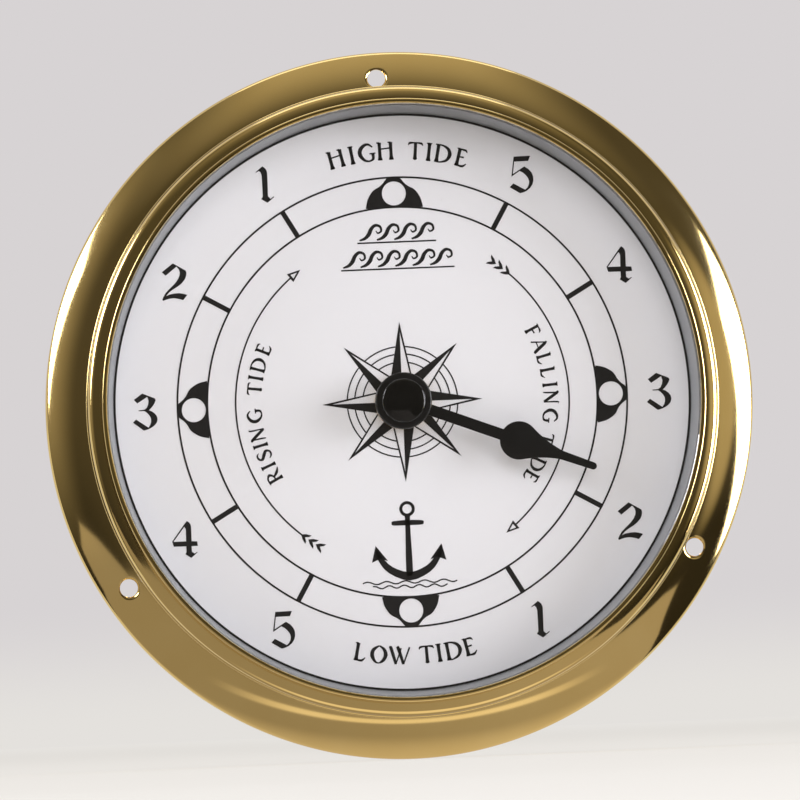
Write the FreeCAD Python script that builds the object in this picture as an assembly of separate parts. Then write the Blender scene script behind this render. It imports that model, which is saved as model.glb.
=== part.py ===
import FreeCAD, Part
import math
import os

from FreeCAD import Vector

# A wall-hung tide clock: a round brass case with a screw flange, a glazed bezel,
# a printed dial and one hand, driven by a square quartz movement behind the dial.
# The model is drawn lying on its back, +Z out of the wall and +Y towards the
# dial's twelve o'clock, and is stood up against the wall as it is exported.
# All sizes are in millimetres, and a height is measured out from the wall. The
# exported origin lies inside the screw holes' circle, origin_h out from the wall.

# Case
flange_w = 6.6
flange_wall_h = 6.4
flange_edge_round = 1.2
flange_outer_tilt_deg = 37.0
flange_inner_tilt_deg = 7.0
sheet_t = 1.5
neck_wall = 1.6
neck_top_round = 0.3
seat_t = 1.6
seat_w = 3.2
wall_gap = 1.2

# Wall screw holes, turned a little from the dial's twelve o'clock
screw_place_share = 1 / 3
screw_count = 3
screw_hole_r = 1.45
screw_sink_w = 0.5
screw_sink_depth = 0.55
screw_twist_deg = 1.8
origin_h = 8.0

# Dial, washer and glass
dial_t = 1.0
dial_play = 0.2
dial_hole_play = 0.1
washer_t = 0.6
washer_w = 4.5
spacer_h = 7.2
spacer_top_wall = 0.45
spacer_foot_wall = 1.25
glass_r = 47.75
glass_t = 1.6
glass_edge_chamfer = 0.2
gasket_t = 0.3
gasket_w = 0.25

# Bezel
skirt_wall = 1.4
skirt_h = 2.8
skirt_play = 0.05
bezel_step = 0.3
bezel_foot_chamfer = 0.25
bezel_wall_h = 0.9
bezel_steep_tilt_deg = 80.0
bezel_edge_r = 1.2
bezel_shoulder_tilt_deg = 15.0
bezel_crown_r = 6.6
bezel_flat_tilt_deg = 5.25
lip_t = 0.6
lip_round = 0.28
lip_wall = 0.45
lip_over_glass = 0.25
lip_chamfer = 0.22
glazing_play = 0.1

# Movement housing
housing_wall = 1.3
housing_corner_r = 2.5
cover_t = 1.2
cover_rim_h = 1.0
cover_rim_t = 0.9
cover_play = 0.1
bush_wall = 0.95
bush_rise = 3.0
nut_wall = 0.9
nut_h = 2.2
nut_play = 0.05
nut_slot_w = 1.0
nut_slot_depth = 0.8

# Battery and its contacts
cell_r = 7.1
cell_length = 50.5
cell_nub_r = 2.7
cell_nub_h = 1.0
cell_edge_round = 0.6
cell_play = 0.1
bay_play = 0.6
bay_rim = 0.2
strip_t = 0.4
strip_w = 5.0
strip_rise = 2.0
strip_reach = 5.0
strip_spring = 0.55
strip_bow_w = 2.5
strip_bow_h = 0.8
strip_tongue = 1.6

# Train: teeth, modules and the directions in which one arbor follows the other
fine_module = 0.2
train_module = 0.25
rotor_leaves = 8
pinion_leaves = 8
intermediate_teeth = 48
seconds_teeth = 40
third_teeth = 60
centre_teeth = 64
cannon_leaves = 12
motion_teeth = 40
motion_leaves = 11
tide_teeth = 41
third_direction_deg = 30.0
seconds_direction_deg = 95.0
intermediate_direction_deg = 165.0
rotor_direction_deg = 180.0
motion_direction_deg = 200.0
addendum_share = 0.85
dedendum_share = 1.1
leaf_shift_share = 0.4
motion_shift_share = 0.3
pressure_angle_deg = 20.0
tooth_play = 0.06
wheel_t = 1.0
wheel_gap = 0.5
front_wheel_gap = 1.0
seconds_gap = 0.6
back_wheel_gap = 1.8
train_margin = 2.1
clutch_play = 0.05
clutch_wall = 0.95
clutch_shoulder_w = 0.25
clutch_shoulder_h = 0.2
pivot_r = 0.4
pivot_depth = 0.6
running_play = 0.05
centre_arbor_r = 1.0
centre_arbor_overlap = 5.3
post_r = 0.6
motion_collar_wall = 0.45
tide_tube_wall = 1.4
tide_collar_w = 0.75
magnet_margin = 0.4
magnet_h = 2.6

# Motor and circuit
stator_t = 1.0
stator_air_gap = 0.4
stator_rim = 0.75
stator_arm_w = 2.6
core_w = 3.0
coil_margin_x = 3.7
coil_margin_low = 3.3
coil_margin_high = 3.7
coil_flange_t = 0.8
coil_wind_gap = 0.2
stator_elbow_w = 5.5
stator_above_cover = 1.6
coil_end_play = 0.2
board_gap = 0.3
board_w = 12.4
board_l = 13.0
board_t = 0.8
board_above_cover = 1.2
board_post_r = 0.9
board_post_inset = 1.8
post_root = 0.6
chip_x_share = 0.67
chip_y_share = 0.33
chip_r = 2.0
chip_h = 0.8
chip_round = 0.5
can_r = 1.0
can_length = 6.0
can_inset = 3.0

# Setting knob
knob_r = 5.0
knob_flutes = 16
knob_flute_r = 0.45
knob_neck_r = 2.0
knob_neck_h = 0.5
knob_to_cover = 0.8

# Hand
boss_w = 2.1
boss_t = 1.6
boss_above_bush = 0.5
boss_round = 0.35
blade_t = 0.5
blade_angle_deg = 111.3
arm_reach = 16.6
arm_w = 1.65
spade_r = 3.0
spade_taper = 7.2
spade_shoulder_deg = 62.0
spade_flank_share = 0.47
spade_flank_half_w = 1.42
tail_length = 5.9
tail_start_w = 1.26
tail_tip_w = 1.0
cap_w = 1.1
cap_wall_h = 0.6
cap_bevel = 0.55
cap_crown = 0.25
cap_peg_h = 1.0
tube_below_cap = 0.2

# One overrun for all cuts, and the middle of a quarter round
overrun = 1.0
mid_round_deg = 45.0

# Heights that follow from the stack, from the wall outwards
bay_depth = housing_wall + cell_play + 2 * cell_r + bay_rim
housing_front_h = wall_gap + bay_depth
dial_back_h = housing_front_h + washer_t
dial_face_h = dial_back_h + dial_t
seat_foot_h = dial_back_h - seat_t
neck_top_h = dial_face_h + skirt_h
glass_back_h = dial_face_h + spacer_h
glass_front_h = glass_back_h + glass_t
lip_under_h = glass_front_h + gasket_t
lip_top_h = lip_under_h + lip_t
housing_inner_h = housing_front_h - housing_wall
bay_back_h = housing_front_h - bay_depth
bush_top_h = dial_face_h + bush_rise

# Levels of the wheels, from the front plate backwards to the cover
level_step = wheel_t + wheel_gap
tide_level_h = housing_inner_h - front_wheel_gap - wheel_t
motion_level_h = tide_level_h - level_step
centre_level_h = motion_level_h - level_step
third_level_h = centre_level_h - level_step
seconds_level_h = third_level_h - wheel_t - seconds_gap
housing_back_h = seconds_level_h - back_wheel_gap
cover_back_h = housing_back_h - cover_t
clutch_low_h = centre_level_h - wheel_gap / 2
knob_high_h = cover_back_h - knob_to_cover
knob_low_h = wall_gap

# Radii that follow, from the glass outwards to the case
glass_pocket_r = glass_r + glazing_play
lip_in_r = glass_r - lip_over_glass
lip_top_r = glass_pocket_r + lip_wall
skirt_r = glass_pocket_r + skirt_wall
neck_in_r = skirt_r + skirt_play
neck_r = neck_in_r + neck_wall
seat_in_r = neck_in_r - seat_w
flange_r = neck_r + flange_w
screw_circle_r = neck_r + flange_w * screw_place_share
bezel_r = neck_r - bezel_step
dial_r = neck_in_r - dial_play

# Radii that follow, from the centre arbor outwards to the hand
arbor_bore_r = centre_arbor_r + running_play
clutch_r = arbor_bore_r + clutch_wall
clutch_shoulder_r = centre_arbor_r + clutch_shoulder_w
tide_tube_r = arbor_bore_r + tide_tube_wall
tide_collar_r = tide_tube_r + tide_collar_w
bush_bore_r = tide_tube_r + 2 * running_play
bush_r = bush_bore_r + bush_wall
hub_hole_r = bush_r + dial_hole_play
nut_r = bush_r + nut_play + nut_wall
washer_r = bush_r + washer_w
boss_r = tide_tube_r + boss_w
cap_r = tide_tube_r + cap_w
motion_collar_r = post_r + running_play + motion_collar_wall

# The housing is square round the cell, its contacts and the train
room_half_x = cell_length / 2 + strip_spring + strip_t
housing_half = room_half_x + housing_wall
centre_tip_r = centre_teeth * train_module / 2
divider_high_y = -centre_tip_r - train_margin
bay_high_y = divider_high_y - housing_wall
bay_low_y = bay_high_y - 2 * cell_r - bay_play
housing_low_y = bay_low_y - housing_wall
cell_y = (bay_low_y + bay_high_y) / 2
cell_h = housing_inner_h - cell_play - cell_r

# Motor and circuit board in the room beside the train
board_x = strip_t + cover_play - room_half_x
board_y = divider_high_y + board_gap
board_foot_h = housing_back_h + board_above_cover
board_top_h = board_foot_h + board_t
stator_foot_h = housing_back_h + stator_above_cover
stator_top_h = stator_foot_h + stator_t
core_top_h = stator_top_h + stator_t
core_middle_h = (stator_top_h + core_top_h) / 2
coil_flange_half = core_middle_h - housing_back_h - cover_play
coil_wind_r = coil_flange_half - coil_wind_gap
coil_tube_r = math.hypot(core_w, stator_t) / 2 + coil_flange_t / 2
coil_x = coil_margin_x + coil_flange_half - room_half_x
coil_low_y = board_y + board_l + coil_margin_low
coil_high_y = room_half_x - coil_margin_high
coil_length = coil_high_y - coil_low_y
stator_elbow_x = coil_x + stator_elbow_w
arm_low_y = coil_low_y - stator_arm_w / 2 - coil_end_play
arm_high_y = coil_high_y + stator_arm_w / 2 + coil_end_play

# Spans between the arbors, and the magnet that fits beside the first pinion
third_span = (pinion_leaves + centre_teeth) * train_module / 2
seconds_span = (pinion_leaves + third_teeth) * train_module / 2
intermediate_span = (pinion_leaves + seconds_teeth) * train_module / 2
rotor_span = (rotor_leaves + intermediate_teeth) * fine_module / 2
motion_span = (cannon_leaves + motion_teeth) * train_module / 2
leaf_tip_r = (pinion_leaves / 2 + addendum_share + leaf_shift_share) * train_module
magnet_r = rotor_span - leaf_tip_r - magnet_margin - stator_rim - stator_air_gap

# Places along the hand
spade_centre = arm_reach + spade_r
tail_start = spade_centre + spade_taper
hand_length = tail_start + tail_length


def disc(centre, radius, low, high):
    """Solid cylinder about the outward axis through centre (x, y)."""
    return Part.makeCylinder(radius, high - low, Vector(centre[0], centre[1], low))


def block(x_low, x_high, y_low, y_high, low, high):
    """Solid box between the given limits."""
    return Part.makeBox(x_high - x_low, y_high - y_low, high - low, Vector(x_low, y_low, low))


def between(x_a, x_b, y_low, y_high, low, high):
    """Solid box whose two x limits may come in either order."""
    return block(min(x_a, x_b), max(x_a, x_b), y_low, y_high, low, high)


def line(start, end):
    """Straight edge between two points of a half section, each (radius, height)."""
    return Part.LineSegment(Vector(start[0], 0, start[1]), Vector(end[0], 0, end[1])).toShape()


def arc(start, middle, end):
    """Round edge through three points of a half section."""
    points = [Vector(point[0], 0, point[1]) for point in (start, middle, end)]
    return Part.Arc(*points).toShape()


def turned(edges):
    """Body of revolution about the outward axis from the edges of its half section."""
    section = Part.Face(Part.Wire(edges))
    return section.revolve(Vector(0, 0, 0), Vector(0, 0, 1), 360)


def turned_from(points):
    """Body of revolution whose half section has straight sides only."""
    closed = points + points[:1]
    return turned([line(closed[i], closed[i + 1]) for i in range(len(points))])


def on_circle(centre, radius, tilt_deg):
    """Point of a half-section circle where its surface is tilted by tilt_deg from flat."""
    tilt = math.radians(tilt_deg)
    return (centre[0] + radius * math.sin(tilt), centre[1] + radius * math.cos(tilt))


def at(centre, distance, direction_deg):
    """Point (x, y) at a distance and direction from centre, seen from the front."""
    turn = math.radians(direction_deg)
    return (centre[0] + distance * math.cos(turn), centre[1] + distance * math.sin(turn))


def rounded_block(half_x, y_low, y_high, low, high, radius):
    """Box with rounded upright corners, centred on x = 0."""
    body = block(-half_x, half_x, y_low, y_high, low, high)
    upright = [e for e in body.Edges if e.BoundBox.ZLength > (high - low) / 2]
    return body.makeFillet(radius, upright)


# Case: one spun and turned brass body
def flange_arc():
    """Centre and radius of the flange's crown, tangent to its rounded edge."""
    edge_centre = (flange_r - flange_edge_round, flange_wall_h)
    start = on_circle(edge_centre, flange_edge_round, flange_outer_tilt_deg)
    outer = math.sin(math.radians(flange_outer_tilt_deg))
    inner = math.sin(math.radians(flange_inner_tilt_deg))
    radius = (start[0] - neck_r) / (outer - inner)
    low = math.cos(math.radians(flange_outer_tilt_deg))
    centre = (start[0] - radius * outer, start[1] - radius * low)
    return centre, radius, start


def make_case_body():
    crown_centre, crown_r, crown_start = flange_arc()
    edge_centre = (flange_r - flange_edge_round, flange_wall_h)
    edge_tilt = (90 + flange_outer_tilt_deg) / 2
    edge_mid = on_circle(edge_centre, flange_edge_round, edge_tilt)
    crown_tilt = (flange_outer_tilt_deg + flange_inner_tilt_deg) / 2
    crown_mid = on_circle(crown_centre, crown_r, crown_tilt)
    crown_end = on_circle(crown_centre, crown_r, flange_inner_tilt_deg)

    under_r = crown_r - sheet_t
    rim_in_r = flange_r - sheet_t
    under_outer_deg = math.degrees(math.asin((rim_in_r - crown_centre[0]) / under_r))
    under_inner_deg = math.degrees(math.asin((neck_in_r - crown_centre[0]) / under_r))
    under_start = on_circle(crown_centre, under_r, under_outer_deg)
    under_mid = on_circle(crown_centre, under_r, (under_outer_deg + under_inner_deg) / 2)
    under_end = on_circle(crown_centre, under_r, under_inner_deg)

    top_centre = (neck_r - neck_top_round, neck_top_h - neck_top_round)
    wall_top = (flange_r, flange_wall_h)
    neck_side = (neck_r, top_centre[1])
    neck_top = (top_centre[0], neck_top_h)
    edges = [
        line((flange_r, 0), wall_top),
        arc(wall_top, edge_mid, crown_start),
        arc(crown_start, crown_mid, crown_end),
        line(crown_end, neck_side),
        arc(neck_side, on_circle(top_centre, neck_top_round, mid_round_deg), neck_top),
        line(neck_top, (neck_in_r, neck_top_h)),
        line((neck_in_r, neck_top_h), (neck_in_r, dial_back_h)),
        line((neck_in_r, dial_back_h), (seat_in_r, dial_back_h)),
        line((seat_in_r, dial_back_h), (seat_in_r, seat_foot_h)),
        line((seat_in_r, seat_foot_h), (neck_in_r, seat_foot_h)),
        line((neck_in_r, seat_foot_h), under_end),
        arc(under_end, under_mid, under_start),
        line(under_start, (rim_in_r, 0)),
        line((rim_in_r, 0), (flange_r, 0)),
    ]
    body = turned(edges)
    tilt = math.asin((screw_circle_r - crown_centre[0]) / crown_r)
    surface_h = crown_centre[1] + crown_r * math.cos(tilt)
    for i in range(screw_count):
        turn = 90 + screw_twist_deg + i * 360 / screw_count
        spot = at((0, 0), screw_circle_r, turn)
        body = body.cut(disc(spot, screw_hole_r, 0, surface_h + overrun))
        sink_low = surface_h - screw_sink_depth
        sink = Part.makeCone(screw_hole_r, screw_hole_r + screw_sink_w, screw_sink_depth,
                             Vector(spot[0], spot[1], sink_low))
        sink_top = disc(spot, screw_hole_r + screw_sink_w, surface_h, surface_h + overrun)
        body = body.cut(sink.fuse(sink_top))
    return body


# Bezel: a turned ring that stands on the neck and holds the glass down
def make_bezel_ring():
    foot_h = neck_top_h
    wall_top_h = foot_h + bezel_wall_h
    steep = math.radians(bezel_steep_tilt_deg)
    shoulder = math.radians(bezel_shoulder_tilt_deg)
    edge_centre = (bezel_r - bezel_edge_r * math.sin(steep),
                   wall_top_h - bezel_edge_r * math.cos(steep))
    edge_mid_deg = (bezel_steep_tilt_deg + bezel_shoulder_tilt_deg) / 2
    edge_mid = on_circle(edge_centre, bezel_edge_r, edge_mid_deg)
    edge_end = on_circle(edge_centre, bezel_edge_r, bezel_shoulder_tilt_deg)
    crown_centre = (edge_end[0] - bezel_crown_r * math.sin(shoulder),
                    edge_end[1] - bezel_crown_r * math.cos(shoulder))
    crown_mid_deg = (bezel_shoulder_tilt_deg + bezel_flat_tilt_deg) / 2
    crown_mid = on_circle(crown_centre, bezel_crown_r, crown_mid_deg)
    crown_end = on_circle(crown_centre, bezel_crown_r, bezel_flat_tilt_deg)

    lip_out = (lip_top_r, lip_top_h - lip_round)
    lip_mid = (lip_top_r - lip_round * (1 - math.sin(math.radians(mid_round_deg))),
               lip_top_h - lip_round * (1 - math.sin(math.radians(mid_round_deg))))
    lip_high = (lip_top_r - lip_round, lip_top_h)
    foot_out = (bezel_r - bezel_foot_chamfer, foot_h)
    edges = [
        line(foot_out, (bezel_r, foot_h + bezel_foot_chamfer)),
        line((bezel_r, foot_h + bezel_foot_chamfer), (bezel_r, wall_top_h)),
        arc((bezel_r, wall_top_h), edge_mid, edge_end),
        arc(edge_end, crown_mid, crown_end),
        line(crown_end, lip_out),
        arc(lip_out, lip_mid, lip_high),
        line(lip_high, (lip_in_r + lip_chamfer, lip_top_h)),
        line((lip_in_r + lip_chamfer, lip_top_h), (lip_in_r, lip_top_h - lip_chamfer)),
        line((lip_in_r, lip_top_h - lip_chamfer), (lip_in_r, lip_under_h)),
        line((lip_in_r, lip_under_h), (glass_pocket_r, lip_under_h)),
        line((glass_pocket_r, lip_under_h), (glass_pocket_r, dial_face_h)),
        line((glass_pocket_r, dial_face_h), (skirt_r, dial_face_h)),
        line((skirt_r, dial_face_h), (skirt_r, foot_h)),
        line((skirt_r, foot_h), foot_out),
    ]
    return turned(edges)


def make_glass_lens():
    chamfer = glass_edge_chamfer
    return turned_from([
        (0, glass_back_h), (glass_r - chamfer, glass_back_h), (glass_r, glass_back_h + chamfer),
        (glass_r, glass_front_h - chamfer), (glass_r - chamfer, glass_front_h),
        (0, glass_front_h)])


def make_glass_gasket():
    inner_r = glass_r - gasket_w
    return turned_from([(inner_r, glass_front_h), (glass_r, glass_front_h),
                        (glass_r, lip_under_h), (inner_r, lip_under_h)])


def make_spacer_ring():
    return turned_from([(glass_r - spacer_foot_wall, dial_face_h), (glass_r, dial_face_h),
                        (glass_r, glass_back_h), (glass_r - spacer_top_wall, glass_back_h)])


def make_dial_plate():
    plate = disc((0, 0), dial_r, dial_back_h, dial_face_h)
    return plate.cut(disc((0, 0), hub_hole_r, dial_back_h - overrun, dial_face_h + overrun))


def make_washer():
    pad = disc((0, 0), washer_r, housing_front_h, dial_back_h)
    return pad.cut(disc((0, 0), hub_hole_r, housing_front_h - overrun, dial_back_h + overrun))


def make_fixing_nut():
    foot_h = dial_face_h
    nut = disc((0, 0), nut_r, foot_h, foot_h + nut_h)
    nut = nut.cut(disc((0, 0), bush_r + nut_play, foot_h - overrun, foot_h + nut_h + overrun))
    slot_low = foot_h + nut_h - nut_slot_depth
    slot = block(-nut_r - overrun, nut_r + overrun, -nut_slot_w / 2, nut_slot_w / 2,
                 slot_low, foot_h + nut_h + overrun)
    cross = slot.copy()
    cross.rotate(Vector(0, 0, 0), Vector(0, 0, 1), 90)
    return nut.cut(slot.fuse(cross))


# Where each arbor of the movement stands, seen from the front
centre_spot = (0, 0)
third_spot = at(centre_spot, third_span, third_direction_deg)
seconds_spot = at(third_spot, seconds_span, seconds_direction_deg)
intermediate_spot = at(seconds_spot, intermediate_span, intermediate_direction_deg)
rotor_spot = at(intermediate_spot, rotor_span, rotor_direction_deg)
motion_spot = at(centre_spot, motion_span, motion_direction_deg)
train_spots = [third_spot, seconds_spot, intermediate_spot, rotor_spot]


# Movement housing: the front half with the threaded bush, and its back cover
def make_movement_front():
    body = rounded_block(housing_half, housing_low_y, housing_half,
                         housing_back_h, housing_front_h, housing_corner_r)
    bay = rounded_block(housing_half, housing_low_y, divider_high_y,
                        bay_back_h, housing_front_h, housing_wall)
    corner = rounded_block(housing_half, housing_low_y, housing_half,
                           bay_back_h, housing_front_h, housing_corner_r)
    body = body.fuse(bay.common(corner))
    body = body.cut(block(-room_half_x, room_half_x, divider_high_y, room_half_x,
                          housing_back_h - overrun, housing_inner_h))
    body = body.cut(block(-room_half_x, room_half_x, bay_low_y, bay_high_y,
                          bay_back_h - overrun, housing_inner_h))
    for side in (-1, 1):
        body = body.cut(between(side * (room_half_x - strip_rise), side * room_half_x,
                                bay_high_y - overrun, divider_high_y + overrun,
                                housing_back_h, board_top_h + strip_rise))
    body = body.fuse(disc(centre_spot, bush_r, housing_front_h - housing_wall, bush_top_h))
    post = disc(motion_spot, post_r, motion_level_h - wheel_gap / 2, housing_inner_h + overrun)
    body = body.fuse(post)
    body = body.cut(disc(centre_spot, bush_bore_r, housing_inner_h - overrun, bush_top_h + overrun))
    for spot in train_spots:
        body = body.cut(disc(spot, pivot_r + running_play, housing_inner_h - overrun,
                             housing_inner_h + pivot_depth + running_play))
    return body.removeSplitter()


def make_movement_cover():
    plate = rounded_block(housing_half, housing_low_y, housing_half,
                          cover_back_h, housing_back_h, housing_corner_r)
    plate = plate.cut(block(-housing_half - overrun, housing_half + overrun,
                            housing_low_y - overrun, divider_high_y + cover_play,
                            cover_back_h - overrun, housing_back_h + overrun))
    rim_x = room_half_x - cover_play
    rim_low_y = divider_high_y + cover_play
    rim_top_h = housing_back_h + cover_rim_h
    rim = block(-rim_x, rim_x, rim_low_y, rim_x, housing_back_h, rim_top_h)
    rim = rim.cut(block(-rim_x + cover_rim_t, rim_x - cover_rim_t, rim_low_y + cover_rim_t,
                        rim_x - cover_rim_t, housing_back_h - overrun, rim_top_h + overrun))
    gap_low_x = room_half_x - strip_rise - cover_play
    for side in (-1, 1):
        rim = rim.cut(between(side * gap_low_x, side * (rim_x + overrun), rim_low_y - overrun,
                              board_y + board_l + cover_play,
                              housing_back_h - overrun, rim_top_h + overrun))
    plate = plate.fuse(rim)
    near_x = board_x + strip_rise + board_post_inset
    far_x = board_x + board_w - board_post_inset
    near_y = board_y + board_post_inset
    far_y = board_y + board_l - board_post_inset
    root_h = housing_back_h - post_root
    for spot in ((near_x, near_y), (far_x, near_y), (far_x, far_y)):
        plate = plate.fuse(disc(spot, board_post_r, root_h, board_foot_h))
    for post_y in (arm_low_y, arm_high_y):
        plate = plate.fuse(disc((stator_elbow_x, post_y), board_post_r, root_h, stator_foot_h))
    plate = plate.cut(disc(centre_spot, arbor_bore_r, cover_back_h - overrun,
                           housing_back_h + overrun))
    for spot in train_spots:
        plate = plate.cut(disc(spot, pivot_r + running_play,
                               housing_back_h - pivot_depth - running_play,
                               housing_back_h + overrun))
    return plate


# Battery and the two strips that lead from it to the circuit board
def make_battery_cell():
    can_half = cell_length / 2
    body = Part.makeCylinder(cell_r, cell_length - cell_nub_h, Vector(-can_half, cell_y, cell_h),
                             Vector(1, 0, 0))
    body = body.makeFillet(cell_edge_round, [e for e in body.Edges if e.Closed])
    nub_x = can_half - cell_nub_h - cell_edge_round
    nub = Part.makeCylinder(cell_nub_r, cell_nub_h + cell_edge_round,
                            Vector(nub_x, cell_y, cell_h), Vector(1, 0, 0))
    return body.fuse(nub)


def make_contact(side):
    """Bent strip across the cell's end, through the dividing wall and on to the board."""
    wall_x = side * room_half_x
    face_x = side * (room_half_x - strip_t)
    end_x = side * cell_length / 2
    leg_top_h = board_top_h + strip_rise - cover_play
    leg = between(wall_x, face_x, cell_y - strip_w / 2, divider_high_y + strip_reach,
                  board_top_h, leg_top_h)
    pad = between(wall_x, face_x, cell_y - strip_w / 2, cell_y + strip_w / 2,
                  board_top_h, cell_h + strip_w / 2)
    bow = between(face_x, end_x, cell_y - strip_bow_w / 2, cell_y + strip_bow_w / 2,
                  cell_h - strip_bow_h / 2, cell_h + strip_bow_h / 2)
    run_low_y = divider_high_y + cover_play
    if side > 0:
        reach_x = board_x + board_w - strip_tongue
        run = between(face_x, reach_x, run_low_y, run_low_y + strip_t,
                      board_top_h, leg_top_h)
        tongue = between(reach_x, reach_x + strip_tongue, run_low_y,
                         run_low_y + strip_tongue, board_top_h, board_top_h + strip_t)
        tongue = tongue.fuse(run)
    else:
        tongue_y = divider_high_y + strip_reach
        tongue = between(face_x, face_x - side * strip_tongue, tongue_y - strip_tongue, tongue_y,
                         board_top_h, board_top_h + strip_t)
    return leg.fuse(pad).fuse(bow).fuse(tongue).removeSplitter()


# Circuit board with its chip and quartz can
def make_circuit_board():
    return block(board_x, board_x + board_w, board_y, board_y + board_l,
                 board_foot_h, board_top_h)


chip_spot = (board_x + board_w * chip_x_share, board_y + board_l * chip_y_share)


def make_driver_chip():
    blob = disc(chip_spot, chip_r, board_top_h, board_top_h + chip_h)
    top = [e for e in blob.Edges if e.Closed and e.Vertexes[0].Z > board_top_h + chip_h / 2]
    return blob.makeFillet(chip_round, top)


def make_quartz_can():
    start = Vector(chip_spot[0] - can_length / 2, board_y + board_l - can_inset,
                   board_top_h + can_r)
    return Part.makeCylinder(can_r, can_length, start, Vector(1, 0, 0))


# Stepping motor: coil, iron core, stator and magnet rotor
def make_coil_bobbin():
    half = coil_flange_half
    tube = Part.makeCylinder(coil_tube_r, coil_length,
                             Vector(coil_x, coil_low_y, core_middle_h), Vector(0, 1, 0))
    for flange_y in (coil_low_y, coil_high_y - coil_flange_t):
        tube = tube.fuse(block(coil_x - half, coil_x + half, flange_y, flange_y + coil_flange_t,
                               core_middle_h - half, core_middle_h + half))
    slot_play = cover_play / 2
    return tube.cut(block(coil_x - core_w / 2 - slot_play, coil_x + core_w / 2 + slot_play,
                          coil_low_y - overrun, coil_high_y + overrun,
                          stator_top_h - slot_play, core_top_h + slot_play))


def make_coil_winding():
    length = coil_length - 2 * coil_flange_t
    start = Vector(coil_x, coil_low_y + coil_flange_t, core_middle_h)
    winding = Part.makeCylinder(coil_wind_r, length, start, Vector(0, 1, 0))
    return winding.cut(Part.makeCylinder(coil_tube_r, length, start, Vector(0, 1, 0)))


def strip_between(start, end, width, low, high):
    """Flat bar with rounded ends between two points."""
    length = math.hypot(end[0] - start[0], end[1] - start[1])
    bar = Part.makeBox(length, width, high - low, Vector(0, -width / 2, low))
    turn = math.degrees(math.atan2(end[1] - start[1], end[0] - start[0]))
    bar.rotate(Vector(0, 0, 0), Vector(0, 0, 1), turn)
    bar.translate(Vector(start[0], start[1], 0))
    return bar.fuse(disc(start, width / 2, low, high)).fuse(disc(end, width / 2, low, high))


def make_stator():
    hole_r = magnet_r + stator_air_gap
    plate = disc(rotor_spot, hole_r + stator_rim, stator_foot_h, stator_top_h)
    for arm_y in (arm_low_y, arm_high_y):
        elbow = (stator_elbow_x, arm_y)
        foot = strip_between((coil_x, arm_y), elbow, stator_arm_w, stator_foot_h, stator_top_h)
        reach = strip_between(elbow, rotor_spot, stator_arm_w, stator_foot_h, stator_top_h)
        plate = plate.fuse(foot).fuse(reach)
    return plate.cut(disc(rotor_spot, hole_r, stator_foot_h - overrun, stator_top_h + overrun))


def make_coil_core():
    return block(coil_x - core_w / 2, coil_x + core_w / 2, arm_low_y - stator_arm_w / 2,
                 arm_high_y + stator_arm_w / 2, stator_top_h, core_top_h)


def make_rotor_magnet():
    middle_h = (stator_foot_h + stator_top_h) / 2
    magnet = disc(rotor_spot, magnet_r, middle_h - magnet_h / 2, middle_h + magnet_h / 2)
    return magnet.cut(disc(rotor_spot, pivot_r, middle_h - magnet_h, middle_h + magnet_h))


# Toothed wheels
def tooth_half_angle(radius, base_r, pitch_half_angle):
    """Half the angle that a tooth fills at a radius, from the involute of its base circle."""
    pressure = math.radians(pressure_angle_deg)
    involute_pitch = math.tan(pressure) - pressure
    local = math.acos(min(1, base_r / max(radius, base_r)))
    return pitch_half_angle + involute_pitch - (math.tan(local) - local)


def toothed_disc(centre, teeth, module, shift_share, first_tooth_deg, low, high):
    """Spur gear with one tooth centred on first_tooth_deg, seen from the front."""
    pitch_r = teeth * module / 2
    base_r = pitch_r * math.cos(math.radians(pressure_angle_deg))
    tip_r = pitch_r + (addendum_share + shift_share) * module
    root_r = pitch_r - (dedendum_share - shift_share) * module
    pitch_half = (math.pi / 2 + 2 * shift_share * math.tan(math.radians(pressure_angle_deg))) / teeth
    pitch_half -= tooth_play / (2 * pitch_r)
    foot_r = max(base_r, root_r)
    radii = [foot_r, (foot_r + tip_r) / 2, tip_r]
    if root_r < base_r:
        radii = [root_r] + radii
    flank = [(radius, tooth_half_angle(radius, base_r, pitch_half)) for radius in radii]
    outline = []
    for i in range(teeth):
        middle = math.radians(first_tooth_deg) + i * 2 * math.pi / teeth
        rising = [(radius, middle - half) for radius, half in flank]
        falling = [(radius, middle + half) for radius, half in reversed(flank)]
        for radius, turn in rising + falling:
            outline.append(Vector(centre[0] + radius * math.cos(turn),
                                  centre[1] + radius * math.sin(turn), low))
    outline.append(outline[0])
    return Part.Face(Part.makePolygon(outline)).extrude(Vector(0, 0, high - low))


def meshing_tooth_deg(driver_deg, driver_teeth, line_deg, teeth):
    """First tooth of a gear that stands at line_deg from its driver and meshes with it."""
    driver_pitch = 360 / driver_teeth
    pitch = 360 / teeth
    passed = ((line_deg - driver_deg) / driver_pitch) % 1
    return line_deg + 180 + (passed + 1 / 2) * pitch


# First tooth of every gear, worked out along the train so that all are in mesh at rest
third_leaf_deg = meshing_tooth_deg(0, centre_teeth, third_direction_deg, pinion_leaves)
seconds_leaf_deg = meshing_tooth_deg(0, third_teeth, seconds_direction_deg, pinion_leaves)
intermediate_leaf_deg = meshing_tooth_deg(0, seconds_teeth, intermediate_direction_deg,
                                          pinion_leaves)
rotor_leaf_deg = meshing_tooth_deg(0, intermediate_teeth, rotor_direction_deg, rotor_leaves)
motion_wheel_deg = meshing_tooth_deg(0, cannon_leaves, motion_direction_deg, motion_teeth)
tide_wheel_deg = meshing_tooth_deg(0, motion_leaves, motion_direction_deg + 180, tide_teeth)


def arbor(spot):
    """Thin arbor that runs in the front plate and in the back cover."""
    return disc(spot, pivot_r, housing_back_h - pivot_depth, housing_inner_h + pivot_depth)


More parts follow.
